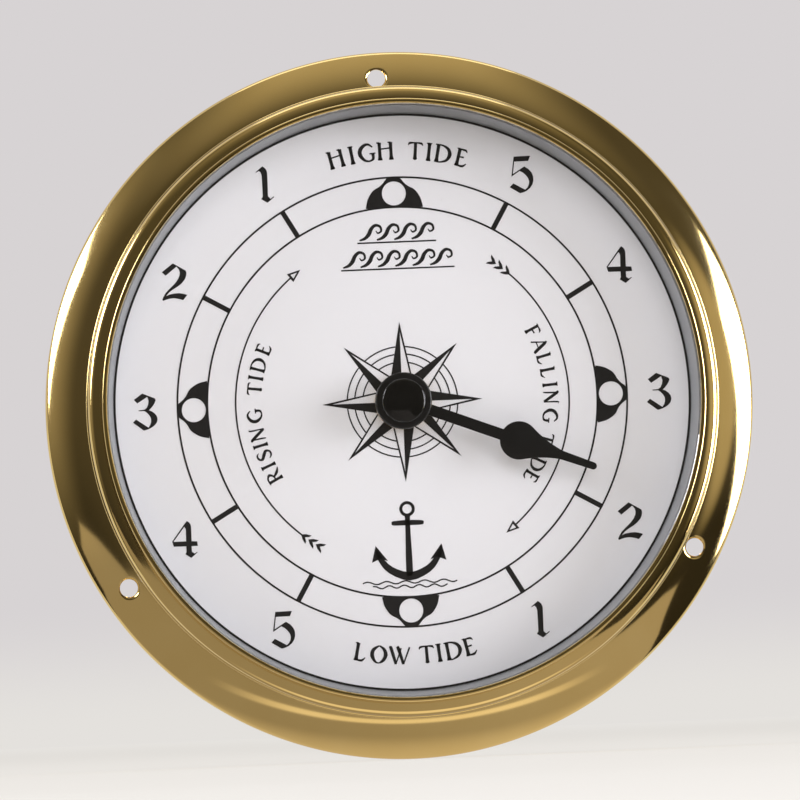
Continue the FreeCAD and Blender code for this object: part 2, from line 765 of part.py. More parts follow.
def wheel_with_leaves(spot, teeth, module, wheel_low, leaves_deg, leaves_low):
    """Train wheel moulded in one with its arbor and with the pinion that turns on it."""
    wheel = toothed_disc(spot, teeth, module, -leaf_shift_share, 0, wheel_low, wheel_low + wheel_t)
    leaves = toothed_disc(spot, pinion_leaves, train_module, leaf_shift_share, leaves_deg,
                          leaves_low, leaves_low + wheel_t)
    hub_r = (pinion_leaves / 2 - dedendum_share) * train_module
    hub = disc(spot, hub_r, min(wheel_low, leaves_low), max(wheel_low, leaves_low) + wheel_t)
    return wheel.fuse(leaves).fuse(hub).fuse(arbor(spot))


def make_third_wheel():
    return wheel_with_leaves(third_spot, third_teeth, train_module, third_level_h,
                             third_leaf_deg, centre_level_h)


def make_seconds_wheel():
    return wheel_with_leaves(seconds_spot, seconds_teeth, train_module, seconds_level_h,
                             seconds_leaf_deg, third_level_h)


def make_intermediate_wheel():
    return wheel_with_leaves(intermediate_spot, intermediate_teeth, fine_module, centre_level_h,
                             intermediate_leaf_deg, seconds_level_h)


def make_rotor_pinion():
    leaves = toothed_disc(rotor_spot, rotor_leaves, fine_module, leaf_shift_share, rotor_leaf_deg,
                          centre_level_h, centre_level_h + wheel_t)
    return leaves.fuse(arbor(rotor_spot))


def make_centre_wheel():
    wheel = toothed_disc(centre_spot, centre_teeth, train_module, -leaf_shift_share, 0,
                         centre_level_h, centre_level_h + wheel_t)
    wheel = wheel.fuse(disc(centre_spot, clutch_r, clutch_low_h, motion_level_h - clutch_play))
    return wheel.cut(disc(centre_spot, arbor_bore_r, clutch_low_h - overrun,
                          motion_level_h + overrun))


# Motion work and setting: arbor, cannon pinion, motion wheel and tide wheel
def make_centre_arbor():
    staff = disc(centre_spot, centre_arbor_r, knob_low_h, tide_level_h + centre_arbor_overlap)
    shoulder_top_h = clutch_low_h - clutch_play
    return staff.fuse(disc(centre_spot, clutch_shoulder_r, shoulder_top_h - clutch_shoulder_h,
                           shoulder_top_h))


def make_cannon_pinion():
    leaves = toothed_disc(centre_spot, cannon_leaves, train_module, motion_shift_share, 0,
                          motion_level_h, motion_level_h + wheel_t)
    return leaves.cut(disc(centre_spot, centre_arbor_r, motion_level_h - overrun,
                           motion_level_h + wheel_t + overrun))


def make_motion_wheel():
    wheel = toothed_disc(motion_spot, motion_teeth, train_module, -motion_shift_share,
                         motion_wheel_deg, motion_level_h, motion_level_h + wheel_t)
    leaves = toothed_disc(motion_spot, motion_leaves, train_module, motion_shift_share, 0,
                          motion_level_h + wheel_t, tide_level_h + wheel_t)
    collar = disc(motion_spot, motion_collar_r, tide_level_h, housing_inner_h - 2 * running_play)
    return wheel.fuse(leaves).fuse(collar).cut(disc(motion_spot, post_r + running_play,
                                                    motion_level_h - overrun,
                                                    housing_inner_h + overrun))


boss_low_h = bush_top_h + boss_above_bush
boss_high_h = boss_low_h + boss_t
blade_low_h = boss_low_h + (boss_t - blade_t) / 2


def make_tide_wheel():
    wheel = toothed_disc(centre_spot, tide_teeth, train_module, -motion_shift_share,
                         tide_wheel_deg, tide_level_h, tide_level_h + wheel_t)
    wheel = wheel.fuse(disc(centre_spot, tide_tube_r, tide_level_h, boss_high_h - tube_below_cap))
    wheel = wheel.fuse(disc(centre_spot, tide_collar_r, tide_level_h,
                            housing_inner_h - 2 * running_play))
    return wheel.cut(disc(centre_spot, arbor_bore_r, tide_level_h - overrun,
                          boss_high_h + overrun))


def make_setting_knob():
    knob = disc(centre_spot, knob_r, knob_low_h, knob_high_h)
    for i in range(knob_flutes):
        spot = at(centre_spot, knob_r, i * 360 / knob_flutes)
        knob = knob.cut(disc(spot, knob_flute_r, knob_low_h - overrun, knob_high_h + overrun))
    knob = knob.fuse(disc(centre_spot, knob_neck_r, knob_high_h, knob_high_h + knob_neck_h))
    return knob.cut(disc(centre_spot, centre_arbor_r, knob_low_h - overrun,
                         cover_back_h + overrun))


# Hand: a spade blade riveted in a round boss, under a domed cap
def spade_outline():
    """Closed outline of the blade along +X, from the hub's centre to the rounded tip."""
    def point(x, y):
        return Vector(x, y, blade_low_h)

    half_arm = arm_w / 2
    back_x = spade_centre - math.sqrt(spade_r ** 2 - half_arm ** 2)
    shoulder = math.radians(spade_shoulder_deg)
    shoulder_x = spade_centre + spade_r * math.cos(shoulder)
    shoulder_y = spade_r * math.sin(shoulder)
    flank_x = shoulder_x + (tail_start - shoulder_x) * spade_flank_share
    tip_r = tail_tip_w / 2
    tip_x = hand_length - tip_r
    half_tail = tail_start_w / 2
    upper = [
        Part.LineSegment(point(0, half_arm), point(back_x, half_arm)),
        Part.Arc(point(back_x, half_arm), point(spade_centre, spade_r),
                 point(shoulder_x, shoulder_y)),
        Part.Arc(point(shoulder_x, shoulder_y), point(flank_x, spade_flank_half_w),
                 point(tail_start, half_tail)),
        Part.LineSegment(point(tail_start, half_tail), point(tip_x, tip_r)),
    ]
    lower = [
        Part.LineSegment(point(tip_x, -tip_r), point(tail_start, -half_tail)),
        Part.Arc(point(tail_start, -half_tail), point(flank_x, -spade_flank_half_w),
                 point(shoulder_x, -shoulder_y)),
        Part.Arc(point(shoulder_x, -shoulder_y), point(spade_centre, -spade_r),
                 point(back_x, -half_arm)),
        Part.LineSegment(point(back_x, -half_arm), point(0, -half_arm)),
    ]
    tip = [Part.Arc(point(tip_x, tip_r), point(hand_length, 0), point(tip_x, -tip_r))]
    end = [Part.LineSegment(point(0, -half_arm), point(0, half_arm))]
    return Part.Wire([curve.toShape() for curve in upper + tip + lower + end])


def make_tide_hand():
    blade = Part.Face(spade_outline()).extrude(Vector(0, 0, blade_t))
    blade.rotate(Vector(0, 0, 0), Vector(0, 0, 1), 90 - blade_angle_deg)
    boss = disc(centre_spot, boss_r, boss_low_h, boss_high_h)
    rims = [e for e in boss.Edges if e.Closed and e.Vertexes[0].Z > blade_low_h + blade_t]
    boss = boss.makeFillet(boss_round, rims)
    return boss.fuse(blade).cut(disc(centre_spot, tide_tube_r, boss_low_h - overrun,
                                     boss_high_h + overrun))


def make_hand_cap():
    wall_top = (cap_r, boss_high_h + cap_wall_h)
    bevel_top = (cap_r - cap_bevel, wall_top[1] + cap_bevel)
    bevel_mid = (cap_r - cap_bevel * (1 - math.cos(math.radians(mid_round_deg))),
                 wall_top[1] + cap_bevel * math.sin(math.radians(mid_round_deg)))
    crown_top = (0, bevel_top[1] + cap_crown)
    crown_r = (bevel_top[0] ** 2 + cap_crown ** 2) / (2 * cap_crown)
    crown_mid_deg = math.degrees(math.asin(bevel_top[0] / crown_r)) / 2
    crown_mid = on_circle((0, crown_top[1] - crown_r), crown_r, crown_mid_deg)
    peg_low = boss_high_h - cap_peg_h
    edges = [
        line((centre_arbor_r, boss_high_h), (cap_r, boss_high_h)),
        line((cap_r, boss_high_h), wall_top),
        arc(wall_top, bevel_mid, bevel_top),
        arc(bevel_top, crown_mid, crown_top),
        line(crown_top, (0, peg_low)),
        line((0, peg_low), (centre_arbor_r, peg_low)),
        line((centre_arbor_r, peg_low), (centre_arbor_r, boss_high_h)),
    ]
    return turned(edges)


nodes = {
    "case_body": make_case_body,
    "bezel_ring": make_bezel_ring,
    "glass_gasket": make_glass_gasket,
    "glass_lens": make_glass_lens,
    "spacer_ring": make_spacer_ring,
    "dial_plate": make_dial_plate,
    "dial_washer": make_washer,
    "fixing_nut": make_fixing_nut,
    "movement_front": make_movement_front,
    "movement_cover": make_movement_cover,
    "battery_cell": make_battery_cell,
    "contact_plus": lambda: make_contact(1),
    "contact_minus": lambda: make_contact(-1),
    "circuit_board": make_circuit_board,
    "driver_chip": make_driver_chip,
    "quartz_can": make_quartz_can,
    "coil_bobbin": make_coil_bobbin,
    "coil_winding": make_coil_winding,
    "coil_core": make_coil_core,
    "stator": make_stator,
    "rotor_magnet": make_rotor_magnet,
    "rotor_pinion": make_rotor_pinion,
    "intermediate_wheel": make_intermediate_wheel,
    "seconds_wheel": make_seconds_wheel,
    "third_wheel": make_third_wheel,
    "centre_wheel": make_centre_wheel,
    "centre_arbor": make_centre_arbor,
    "cannon_pinion": make_cannon_pinion,
    "setting_knob": make_setting_knob,
    "motion_wheel": make_motion_wheel,
    "tide_wheel": make_tide_wheel,
    "tide_hand": make_tide_hand,
    "hand_cap": make_hand_cap,
}


def stood_up(shape):
    """Turn a piece from lying on its back to hanging upright on the wall."""
    placed = shape.copy()
    placed.rotate(Vector(0, 0, 0), Vector(1, 0, 0), 90)
    placed.translate(Vector(0, origin_h, 0))
    return placed


os.makedirs("parts", exist_ok=True)
for name, make in nodes.items():
    piece = stood_up(make())
    piece.exportStep("parts/" + name + ".step")
    box = piece.BoundBox
    print(name, len(piece.Solids), piece.isValid(), round(piece.Volume, 3),
          [round(v, 2) for v in (box.XMin, box.YMin, box.ZMin, box.XMax, box.YMax, box.ZMax)])

for label, spot in [("third", third_spot), ("seconds", seconds_spot),
                    ("intermediate", intermediate_spot), ("rotor", rotor_spot),
                    ("motion", motion_spot)]:
    print(label, "arbor at x", round(spot[0], 4), "z", round(spot[1], 4))
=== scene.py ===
# %% [markdown]
# # A tide clock in a brass case
# The clock hangs on three screws, or stands on a shelf. Its one hand goes round in 12 h 25 min,
# the time from one high tide to the next.
# The CAD model gives the places and sizes. This lesson turns its pieces again with finer
# meshes, prints the dial and gives every piece its finish.

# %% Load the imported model
import math
import bpy
from mathutils import Matrix, Vector


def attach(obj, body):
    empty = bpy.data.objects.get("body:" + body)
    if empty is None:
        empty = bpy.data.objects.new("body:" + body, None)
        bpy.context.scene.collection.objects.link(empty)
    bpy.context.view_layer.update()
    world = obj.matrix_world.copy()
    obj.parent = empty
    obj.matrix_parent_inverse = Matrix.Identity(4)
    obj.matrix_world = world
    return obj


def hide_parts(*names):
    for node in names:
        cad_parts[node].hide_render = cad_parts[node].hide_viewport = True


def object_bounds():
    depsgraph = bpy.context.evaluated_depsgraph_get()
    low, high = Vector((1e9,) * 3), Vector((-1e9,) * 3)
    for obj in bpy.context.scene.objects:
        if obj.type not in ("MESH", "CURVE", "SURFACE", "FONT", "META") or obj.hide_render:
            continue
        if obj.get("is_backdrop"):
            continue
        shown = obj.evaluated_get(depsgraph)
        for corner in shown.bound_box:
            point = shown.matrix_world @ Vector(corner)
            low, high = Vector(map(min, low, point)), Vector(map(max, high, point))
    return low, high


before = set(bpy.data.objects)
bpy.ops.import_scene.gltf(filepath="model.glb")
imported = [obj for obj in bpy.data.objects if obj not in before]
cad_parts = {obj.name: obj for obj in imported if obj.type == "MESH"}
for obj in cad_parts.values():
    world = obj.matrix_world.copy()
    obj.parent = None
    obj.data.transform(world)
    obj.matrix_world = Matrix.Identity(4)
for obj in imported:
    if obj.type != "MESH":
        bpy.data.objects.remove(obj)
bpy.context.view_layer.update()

# %% [markdown]
# ## Where things are
# The dial faces -Y, so a place on the clock is x to the right, z up and a height off the wall.
# Those three are easy to measure in millimetres, and one function turns them to metres.

# %% Places on the clock
MM = 0.001
WALL_Y = 0.008
DIAL_H = 18.6
TURN = 360


def place(x, z, h):
    """The point x to the right, z up and h off the wall, all in mm."""
    return Vector((x * MM, WALL_Y - h * MM, z * MM))


def rectangle(left, right, low, high):
    """The four corners of a rectangle, in a section or a flat shape."""
    return [(left, low), (right, low), (right, high), (left, high)]


def on_arc(centre, radius, start_deg, end_deg, steps):
    """Points of an arc. A tilt of 0 faces the viewer in a section and is up in a flat shape."""
    tilts = [math.radians(start_deg + (end_deg - start_deg) * i / steps)
             for i in range(steps + 1)]
    return [(centre[0] + radius * math.sin(t), centre[1] + radius * math.cos(t))
            for t in tilts]


print("the dial's face is at y =", place(0, 0, DIAL_H).y)

# %% [markdown]
# ## Turning on a lathe
# Nearly every piece of a clock is turned. By hand this is a single point that is extruded
# along half of the section and then spun. A ready cylinder would need many loops pushed into
# place, and a screw modifier gives the same mesh with less say over its steps.

# %% The lathe
WELD = 1e-6
SHARP = math.radians(32)


def finish_mesh(piece, name, body):
    """Names a piece, welds and smooths it, and lets it move with its body."""
    piece.name = piece.data.name = name
    bpy.ops.object.mode_set(mode="EDIT")
    bpy.ops.mesh.select_all(action="SELECT")
    bpy.ops.mesh.remove_doubles(threshold=WELD)
    bpy.ops.mesh.normals_make_consistent(inside=False)
    bpy.ops.object.mode_set(mode="OBJECT")
    bpy.ops.object.transform_apply()
    bpy.ops.object.shade_smooth_by_angle(angle=SHARP)
    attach(piece, body)
    return piece


def extruded_point(spots):
    """A point that is extruded from spot to spot, left selected in edit mode."""
    bpy.ops.object.select_all(action="DESELECT")
    bpy.ops.mesh.primitive_plane_add(size=MM, location=spots[0])
    bpy.ops.object.mode_set(mode="EDIT")
    bpy.ops.mesh.merge(type="CENTER")
    for here, there in zip(spots, spots[1:]):
        bpy.ops.mesh.extrude_region_move(TRANSFORM_OT_translate={"value": there - here})
    bpy.ops.mesh.select_all(action="SELECT")
    return bpy.context.object


def turned(name, section, steps, body, start_deg=0, sweep_deg=TURN):
    """Spins a section of (radius, height) points about the clock's axis, clockwise from 12."""
    on_axis = section[0][0] == section[-1][0] == 0
    path = section if on_axis else section + [section[0]]
    piece = extruded_point([place(0, radius, h) for radius, h in path])
    axis = place(0, 0, 0)
    if start_deg:
        bpy.ops.transform.rotate(value=-math.radians(start_deg), orient_axis="Y",
                                 center_override=axis)
    bpy.ops.mesh.spin(steps=steps, angle=math.radians(sweep_deg), center=axis, axis=(0, -1, 0))
    bpy.ops.object.mode_set(mode="OBJECT")
    return finish_mesh(piece, name, body)


print("edges under", round(math.degrees(SHARP)), "degrees are smoothed")

# %% [markdown]
# ## The case
# One brass sheet is spun over a form: a rim on the wall, a crowned flange for the screws and a
# straight neck. Its crown is a single arc, so reflections run over it without a kink.

# %% Case section
CASE_STEPS = 360
CROWN_CENTRE = (49.345, -2.830)
CROWN_R = 12.757
UNDER_R = 11.257
crown = on_arc(CROWN_CENTRE, CROWN_R, 37, 7, 30)
edge_round = on_arc((56.3, 6.4), 1.2, 90, 37, 12)
neck_round = on_arc((50.6, 21.1), 0.3, 90, 0, 8)
under = on_arc(CROWN_CENTRE, UNDER_R, -0.23, 36.24, 18)
case_section = ([(57.5, 0), (57.5, 3.2)] + edge_round + crown[1:] + [(50.9, 12), (50.9, 20.5)]
                + neck_round + [(49.3, 21.4), (49.3, 17.6), (46.1, 17.6), (46.1, 16.0),
                                (49.3, 16.0)] + under + [(56.0, 0)])
case = turned("brass_case", case_section, CASE_STEPS, "clock")
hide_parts("case_body")
print("case faces", len(case.data.polygons))

# %% [markdown]
# ## The screw holes
# Three screws hold the flange to a wall. A drill goes straight through, and a rounding cutter
# follows the crown's slope and opens the edge. Both are taken away by a Boolean modifier, as
# a drill press would. Cutting the holes into the section isn't possible, as it is spun.

# %% Drill the flange
HOLES, HOLE_FIRST_DEG = 3, -1.8
HOLE_CIRCLE, HOLE_R, SINK_R, SINK_DEPTH = 53.1, 1.45, 2.0, 0.12
BIT_STEPS, BIT_FOOT, BIT_LENGTH, CLEARANCE = 64, 2, 9, 0.02
EDGE_ROUND = SINK_R - HOLE_R
hole_tilt = math.asin((HOLE_CIRCLE - CROWN_CENTRE[0]) / CROWN_R)
hole_h = CROWN_CENTRE[1] + CROWN_R * math.cos(hole_tilt)
straight_bit = [(HOLE_R, 0), (HOLE_R, BIT_LENGTH)]
rounding_bit = on_arc((SINK_R - CLEARANCE, 0), EDGE_ROUND, -90, 0, 9)
rounding_bit.append((SINK_R - CLEARANCE, EDGE_ROUND + 1))


def take_away(steps, foot, way):
    """Cuts a bit, turned from (radius, height) steps in mm, out of the case along a way."""
    bpy.ops.object.select_all(action="DESELECT")
    bpy.ops.mesh.primitive_circle_add(vertices=BIT_STEPS, radius=steps[0][0] * MM,
                                      fill_type="NGON")
    bit = bpy.context.object
    bpy.ops.object.mode_set(mode="EDIT")
    bpy.ops.mesh.select_all(action="SELECT")
    for (here_r, here_h), (next_r, next_h) in zip(steps, steps[1:]):
        rise, grow = (next_h - here_h) * MM, next_r / here_r
        bpy.ops.mesh.extrude_region_move(TRANSFORM_OT_translate={"value": (0, 0, rise)})
        bpy.ops.transform.resize(value=(grow, grow, 1), center_override=(0, 0, next_h * MM))
    bpy.ops.mesh.select_all(action="SELECT")
    bpy.ops.mesh.normals_make_consistent(inside=False)
    bpy.ops.object.mode_set(mode="OBJECT")
    turn = way.to_track_quat("Z", "Y").to_matrix().to_4x4()
    bit.matrix_world = Matrix.Translation(foot) @ turn
    cut = case.modifiers.new("drill", "BOOLEAN")
    cut.operation, cut.solver, cut.object = "DIFFERENCE", "EXACT", bit
    bpy.ops.object.select_all(action="DESELECT")
    bpy.context.view_layer.objects.active = case
    bpy.ops.object.modifier_apply(modifier=cut.name)
    bpy.data.objects.remove(bit)


straight = Vector((0, -1, 0))
for hole in range(HOLES):
    turn = math.radians(HOLE_FIRST_DEG + hole * TURN / HOLES)
    outward = Vector((math.sin(turn), 0, math.cos(turn)))
    leaning = outward * math.sin(hole_tilt) + straight * math.cos(hole_tilt)
    aside = outward * HOLE_CIRCLE * MM
    foot = place(0, 0, hole_h) + aside - leaning * (EDGE_ROUND + SINK_DEPTH) * MM
    take_away(straight_bit, place(0, 0, BIT_FOOT) + aside, straight)
    take_away(rounding_bit, foot, leaning)
case.select_set(True)
bpy.ops.object.shade_smooth_by_angle(angle=SHARP)
print("case faces with its holes", len(case.data.polygons))

# %% [markdown]
# ## Bezel, gasket, glass and spacer
# The bezel is turned from thicker brass: a rounded edge, a low crown and a collar, whose lip
# presses a thin black gasket on the glass. A grey spacer holds the glass off the dial.

# %% Turn the rings round the glass
bezel_edge = on_arc((49.418, 22.092), 1.2, 80, 15, 20)
bezel_crown = on_arc((48.021, 16.876), 6.6, 15, 5.25, 8)
lip_round = on_arc((48.02, 28.02), 0.28, 90, 0, 8)
bezel_section = ([(50.35, 21.4), (50.6, 21.65)] + bezel_edge + bezel_crown[1:] + lip_round
                 + [(47.72, 28.3), (47.58, 28.24), (47.5, 28.08), (47.5, 27.7), (47.85, 27.7),
                    (47.85, 18.6), (49.25, 18.6), (49.25, 21.4)])
bezel = turned("brass_bezel", bezel_section, CASE_STEPS, "clock")
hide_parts("bezel_ring")
gasket = turned("black_gasket", rectangle(47.5, 47.75, 27.4, 27.7), CASE_STEPS, "clock")
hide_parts("glass_gasket")
spacer = turned("grey_spacer", [(46.5, 18.6), (47.75, 18.6), (47.75, 25.8), (47.3, 25.8)],
                CASE_STEPS, "clock")
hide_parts("spacer_ring")
glass = turned("flat_glass", [(0, 25.8), (47.55, 25.8), (47.75, 26.0), (47.75, 27.2),
                              (47.55, 27.4), (0, 27.4)], CASE_STEPS, "clock")
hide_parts("glass_lens")
dial = turned("dial_disc", rectangle(3.6, 49.1, 17.6, DIAL_H), CASE_STEPS, "clock")
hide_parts("dial_plate")
print("turned", [o.name for o in (bezel, gasket, spacer, glass, dial)])

# %% [markdown]
# ## The hand
# A spade hand is stamped from thin steel and painted. Its outline is drawn once as a flat
# curve, given its thickness and a softened edge, and turned to its hour. The boss and the
# cap that hides the tube's end are turned.

# %% Draw flat shapes
def filled(name, outlines, half_thickness=0, edge=0):
    """A flat mesh on the XY plane from closed outlines in mm."""
    bpy.ops.object.select_all(action="DESELECT")
    curve = bpy.data.curves.new(name, "CURVE")
    curve.dimensions, curve.fill_mode = "2D", "BOTH"
    curve.extrude, curve.bevel_depth = (half_thickness - edge) * MM, edge * MM
    curve.bevel_resolution = 2
    for outline in outlines:
        spline = curve.splines.new("POLY")
        spline.points.add(len(outline) - 1)
        spline.use_cyclic_u = True
        for point, (x, y) in zip(spline.points, outline):
            point.co = (x * MM, y * MM, 0, 1)
    piece = bpy.data.objects.new(name, curve)
    bpy.context.scene.collection.objects.link(piece)
    bpy.context.view_layer.objects.active = piece
    piece.select_set(True)
    bpy.ops.object.convert(target="MESH")
    return bpy.context.object


def flat_shape(name, outlines, h, thickness, body, edge=0):
    """A flat piece from closed outlines of (x, z) in mm, from height h outwards."""
    piece = filled(name, outlines, thickness / 2, edge)
    piece.rotation_euler = (math.pi / 2, 0, 0)
    piece.location = place(0, 0, h + thickness / 2)
    bpy.ops.object.transform_apply()
    return finish_mesh(piece, name, body)


def moved(points, across, up):
    """Flat points moved by mm across and up."""
    return [(x + across, z + up) for x, z in points]


def turned_by(points, turn_deg):
    """Flat points turned clockwise about the dial's centre."""
    turn = math.radians(turn_deg)
    return [(x * math.cos(turn) + z * math.sin(turn), z * math.cos(turn) - x * math.sin(turn))
            for x, z in points]


def smooth(points):
    """A line through the points with two more between each pair, without corners."""
    fine = []
    for i in range(len(points) - 1):
        around = [points[min(max(i + k, 0), len(points) - 1)] for k in (-1, 0, 1, 2)]
        for t in (0, 1 / 3, 2 / 3):
            weights = (-t + 2 * t * t - t ** 3, 2 - 5 * t * t + 3 * t ** 3,
                       t + 4 * t * t - 3 * t ** 3, -t * t + t ** 3)
            fine.append(tuple(sum(w * p[axis] for w, p in zip(weights, around)) / 2
                              for axis in (0, 1)))
    return fine + [points[-1]]


print("four corners smoothed make", len(smooth(rectangle(0, 1, 0, 1))), "points")

# %% The hand's outline
HAND_DEG = 111.3
SPADE_CENTRE, SPADE_R, BELLY_DEG, SHOULDER_DEG = 19.6, 3.0, 162, 62
ARM_FOOT, ARM_HALF, TAIL_HALF, TIP_HALF = 3.5, 0.825, 0.63, 0.5
FLANK_HALF, FLANK_SHARE = 1.42, 0.47
TAIL_START, HAND_LENGTH = 26.8, 32.7
BLADE_H, BLADE_THICK, BLADE_EDGE = 22.65, 0.5, 0.08


def through(start, middle, end, steps):
    """Points of the circle through three points, from the first to the last."""
    (ax, ay), (bx, by), (cx, cy) = start, middle, end
    double = 2 * (ax * (by - cy) + bx * (cy - ay) + cx * (ay - by))
    squares = [x * x + y * y for x, y in (start, middle, end)]
    ox = (squares[0] * (by - cy) + squares[1] * (cy - ay) + squares[2] * (ay - by)) / double
    oy = (squares[0] * (cx - bx) + squares[1] * (ax - cx) + squares[2] * (bx - ax)) / double
    radius = math.hypot(ax - ox, ay - oy)
    first, last = (math.atan2(y - oy, x - ox) for x, y in (start, end))
    by_middle = math.atan2(by - oy, bx - ox)
    while not (min(first, last) <= by_middle <= max(first, last)):
        last += -2 * math.pi if last > first else 2 * math.pi
        by_middle = by_middle if min(first, last) <= by_middle else by_middle - 2 * math.pi
    return [(ox + radius * math.cos(first + (last - first) * i / steps),
             oy + radius * math.sin(first + (last - first) * i / steps))
            for i in range(steps + 1)]


*belly, shoulder = on_arc((0, SPADE_CENTRE), SPADE_R, BELLY_DEG, SHOULDER_DEG, 20)
back_z = SPADE_CENTRE - math.sqrt(SPADE_R ** 2 - ARM_HALF ** 2)
flank_z = shoulder[1] + (TAIL_START - shoulder[1]) * FLANK_SHARE
flank = through(shoulder, (FLANK_HALF, flank_z), (TAIL_HALF, TAIL_START), 14)
tip = on_arc((0, HAND_LENGTH - TIP_HALF), TIP_HALF, 90, 0, 6)
right_side = [(ARM_HALF, ARM_FOOT), (ARM_HALF, back_z)] + belly + flank + tip
left_side = [(-x, z) for x, z in reversed(right_side[:-1])]
hand_outline = turned_by(right_side + left_side, HAND_DEG)
blade = flat_shape("hand_blade", [hand_outline], BLADE_H, BLADE_THICK, "tide",
                   BLADE_EDGE)
print("hand points", len(hand_outline))

# %% Turn the boss and the cap
HUB_STEPS = 120
CAP_R, CAP_RISE, CAP_TOP = 3.0, 0.25, 25.1
boss_round = on_arc((4.2, 23.35), 0.35, 90, 0, 8)
boss = turned("hand_boss", [(2.45, 22.1), (4.55, 22.1)] + boss_round + [(2.45, 23.7)],
              HUB_STEPS, "tide")
cap_side = on_arc((CAP_R, 24.3), 0.55, 90, 0, 8)
dome_r = (CAP_R ** 2 + CAP_RISE ** 2) / (2 * CAP_RISE)
dome_tilt = math.degrees(math.asin(CAP_R / dome_r))
dome = on_arc((0, CAP_TOP - dome_r), dome_r, dome_tilt, 0, 8)
cap_section = ([(0, 22.7), (1.0, 22.7), (1.0, 23.7), (3.55, 23.7)] + cap_side + dome[1:-1]
               + [(0, CAP_TOP)])
cap = turned("hand_cap_dome", cap_section, HUB_STEPS, "tide")
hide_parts("tide_hand")
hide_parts("tide_hand")
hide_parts("hand_cap")
print("turned", boss.name, cap.name)

# %% [markdown]
# ## The printed dial
# The dial is screen printed: black ink in a thin even layer. Each part of the print is its own
# flat piece, about 0.04 mm thick, so that its edges stay crisp at any distance.

# %% Rings, ticks and the dark line at the spacer's foot
INK = 0.04
OUTER_RING, INNER_RING, RING_LINE = 36.2, 31.4, 0.3
EDGE_RING, EDGE_LINE = 46.31, 0.36
HOUR_DEG, TICK_HALF = 30, 0.4
PRINT_STEPS = 240


def ink_ring(name, radius, width, start_deg=0, sweep_deg=TURN, steps=PRINT_STEPS):
    """A printed circle or arc, its line centred on the radius."""
    section = rectangle(radius - width / 2, radius + width / 2, DIAL_H, DIAL_H + INK)
    return turned(name, section, steps, "clock", start_deg, sweep_deg)


def ink(name, outlines, layers=1):
    """A flat printed shape."""
    return flat_shape(name, outlines, DIAL_H, INK * layers, "clock")


def joined(name, parts):
    """Several printed shapes as one piece."""
    bpy.ops.object.select_all(action="DESELECT")
    for part in parts:
        part.select_set(True)
    bpy.context.view_layer.objects.active = parts[0]
    bpy.ops.object.join()
    whole = bpy.context.object
    whole.name = whole.data.name = name
    return whole


prints = [ink_ring("chapter_ring_outer", OUTER_RING, RING_LINE),
          ink_ring("chapter_ring_inner", INNER_RING, RING_LINE),
          ink_ring("dial_edge_line", EDGE_RING, EDGE_LINE)]
tick = rectangle(-TICK_HALF, TICK_HALF, INNER_RING, OUTER_RING)
ticks = [turned_by(tick, hour * HOUR_DEG) for hour in range(12) if hour % 3]
prints.append(ink("hour_ticks", ticks))
print("ticks", len(ticks))

# %% [markdown]
# ## Numerals and words
# The numerals count the hours to the next tide, 5 to 1 down each side. They are pen-like
# figures with swelling strokes. A built-in font has no such shapes, so each is an outline.

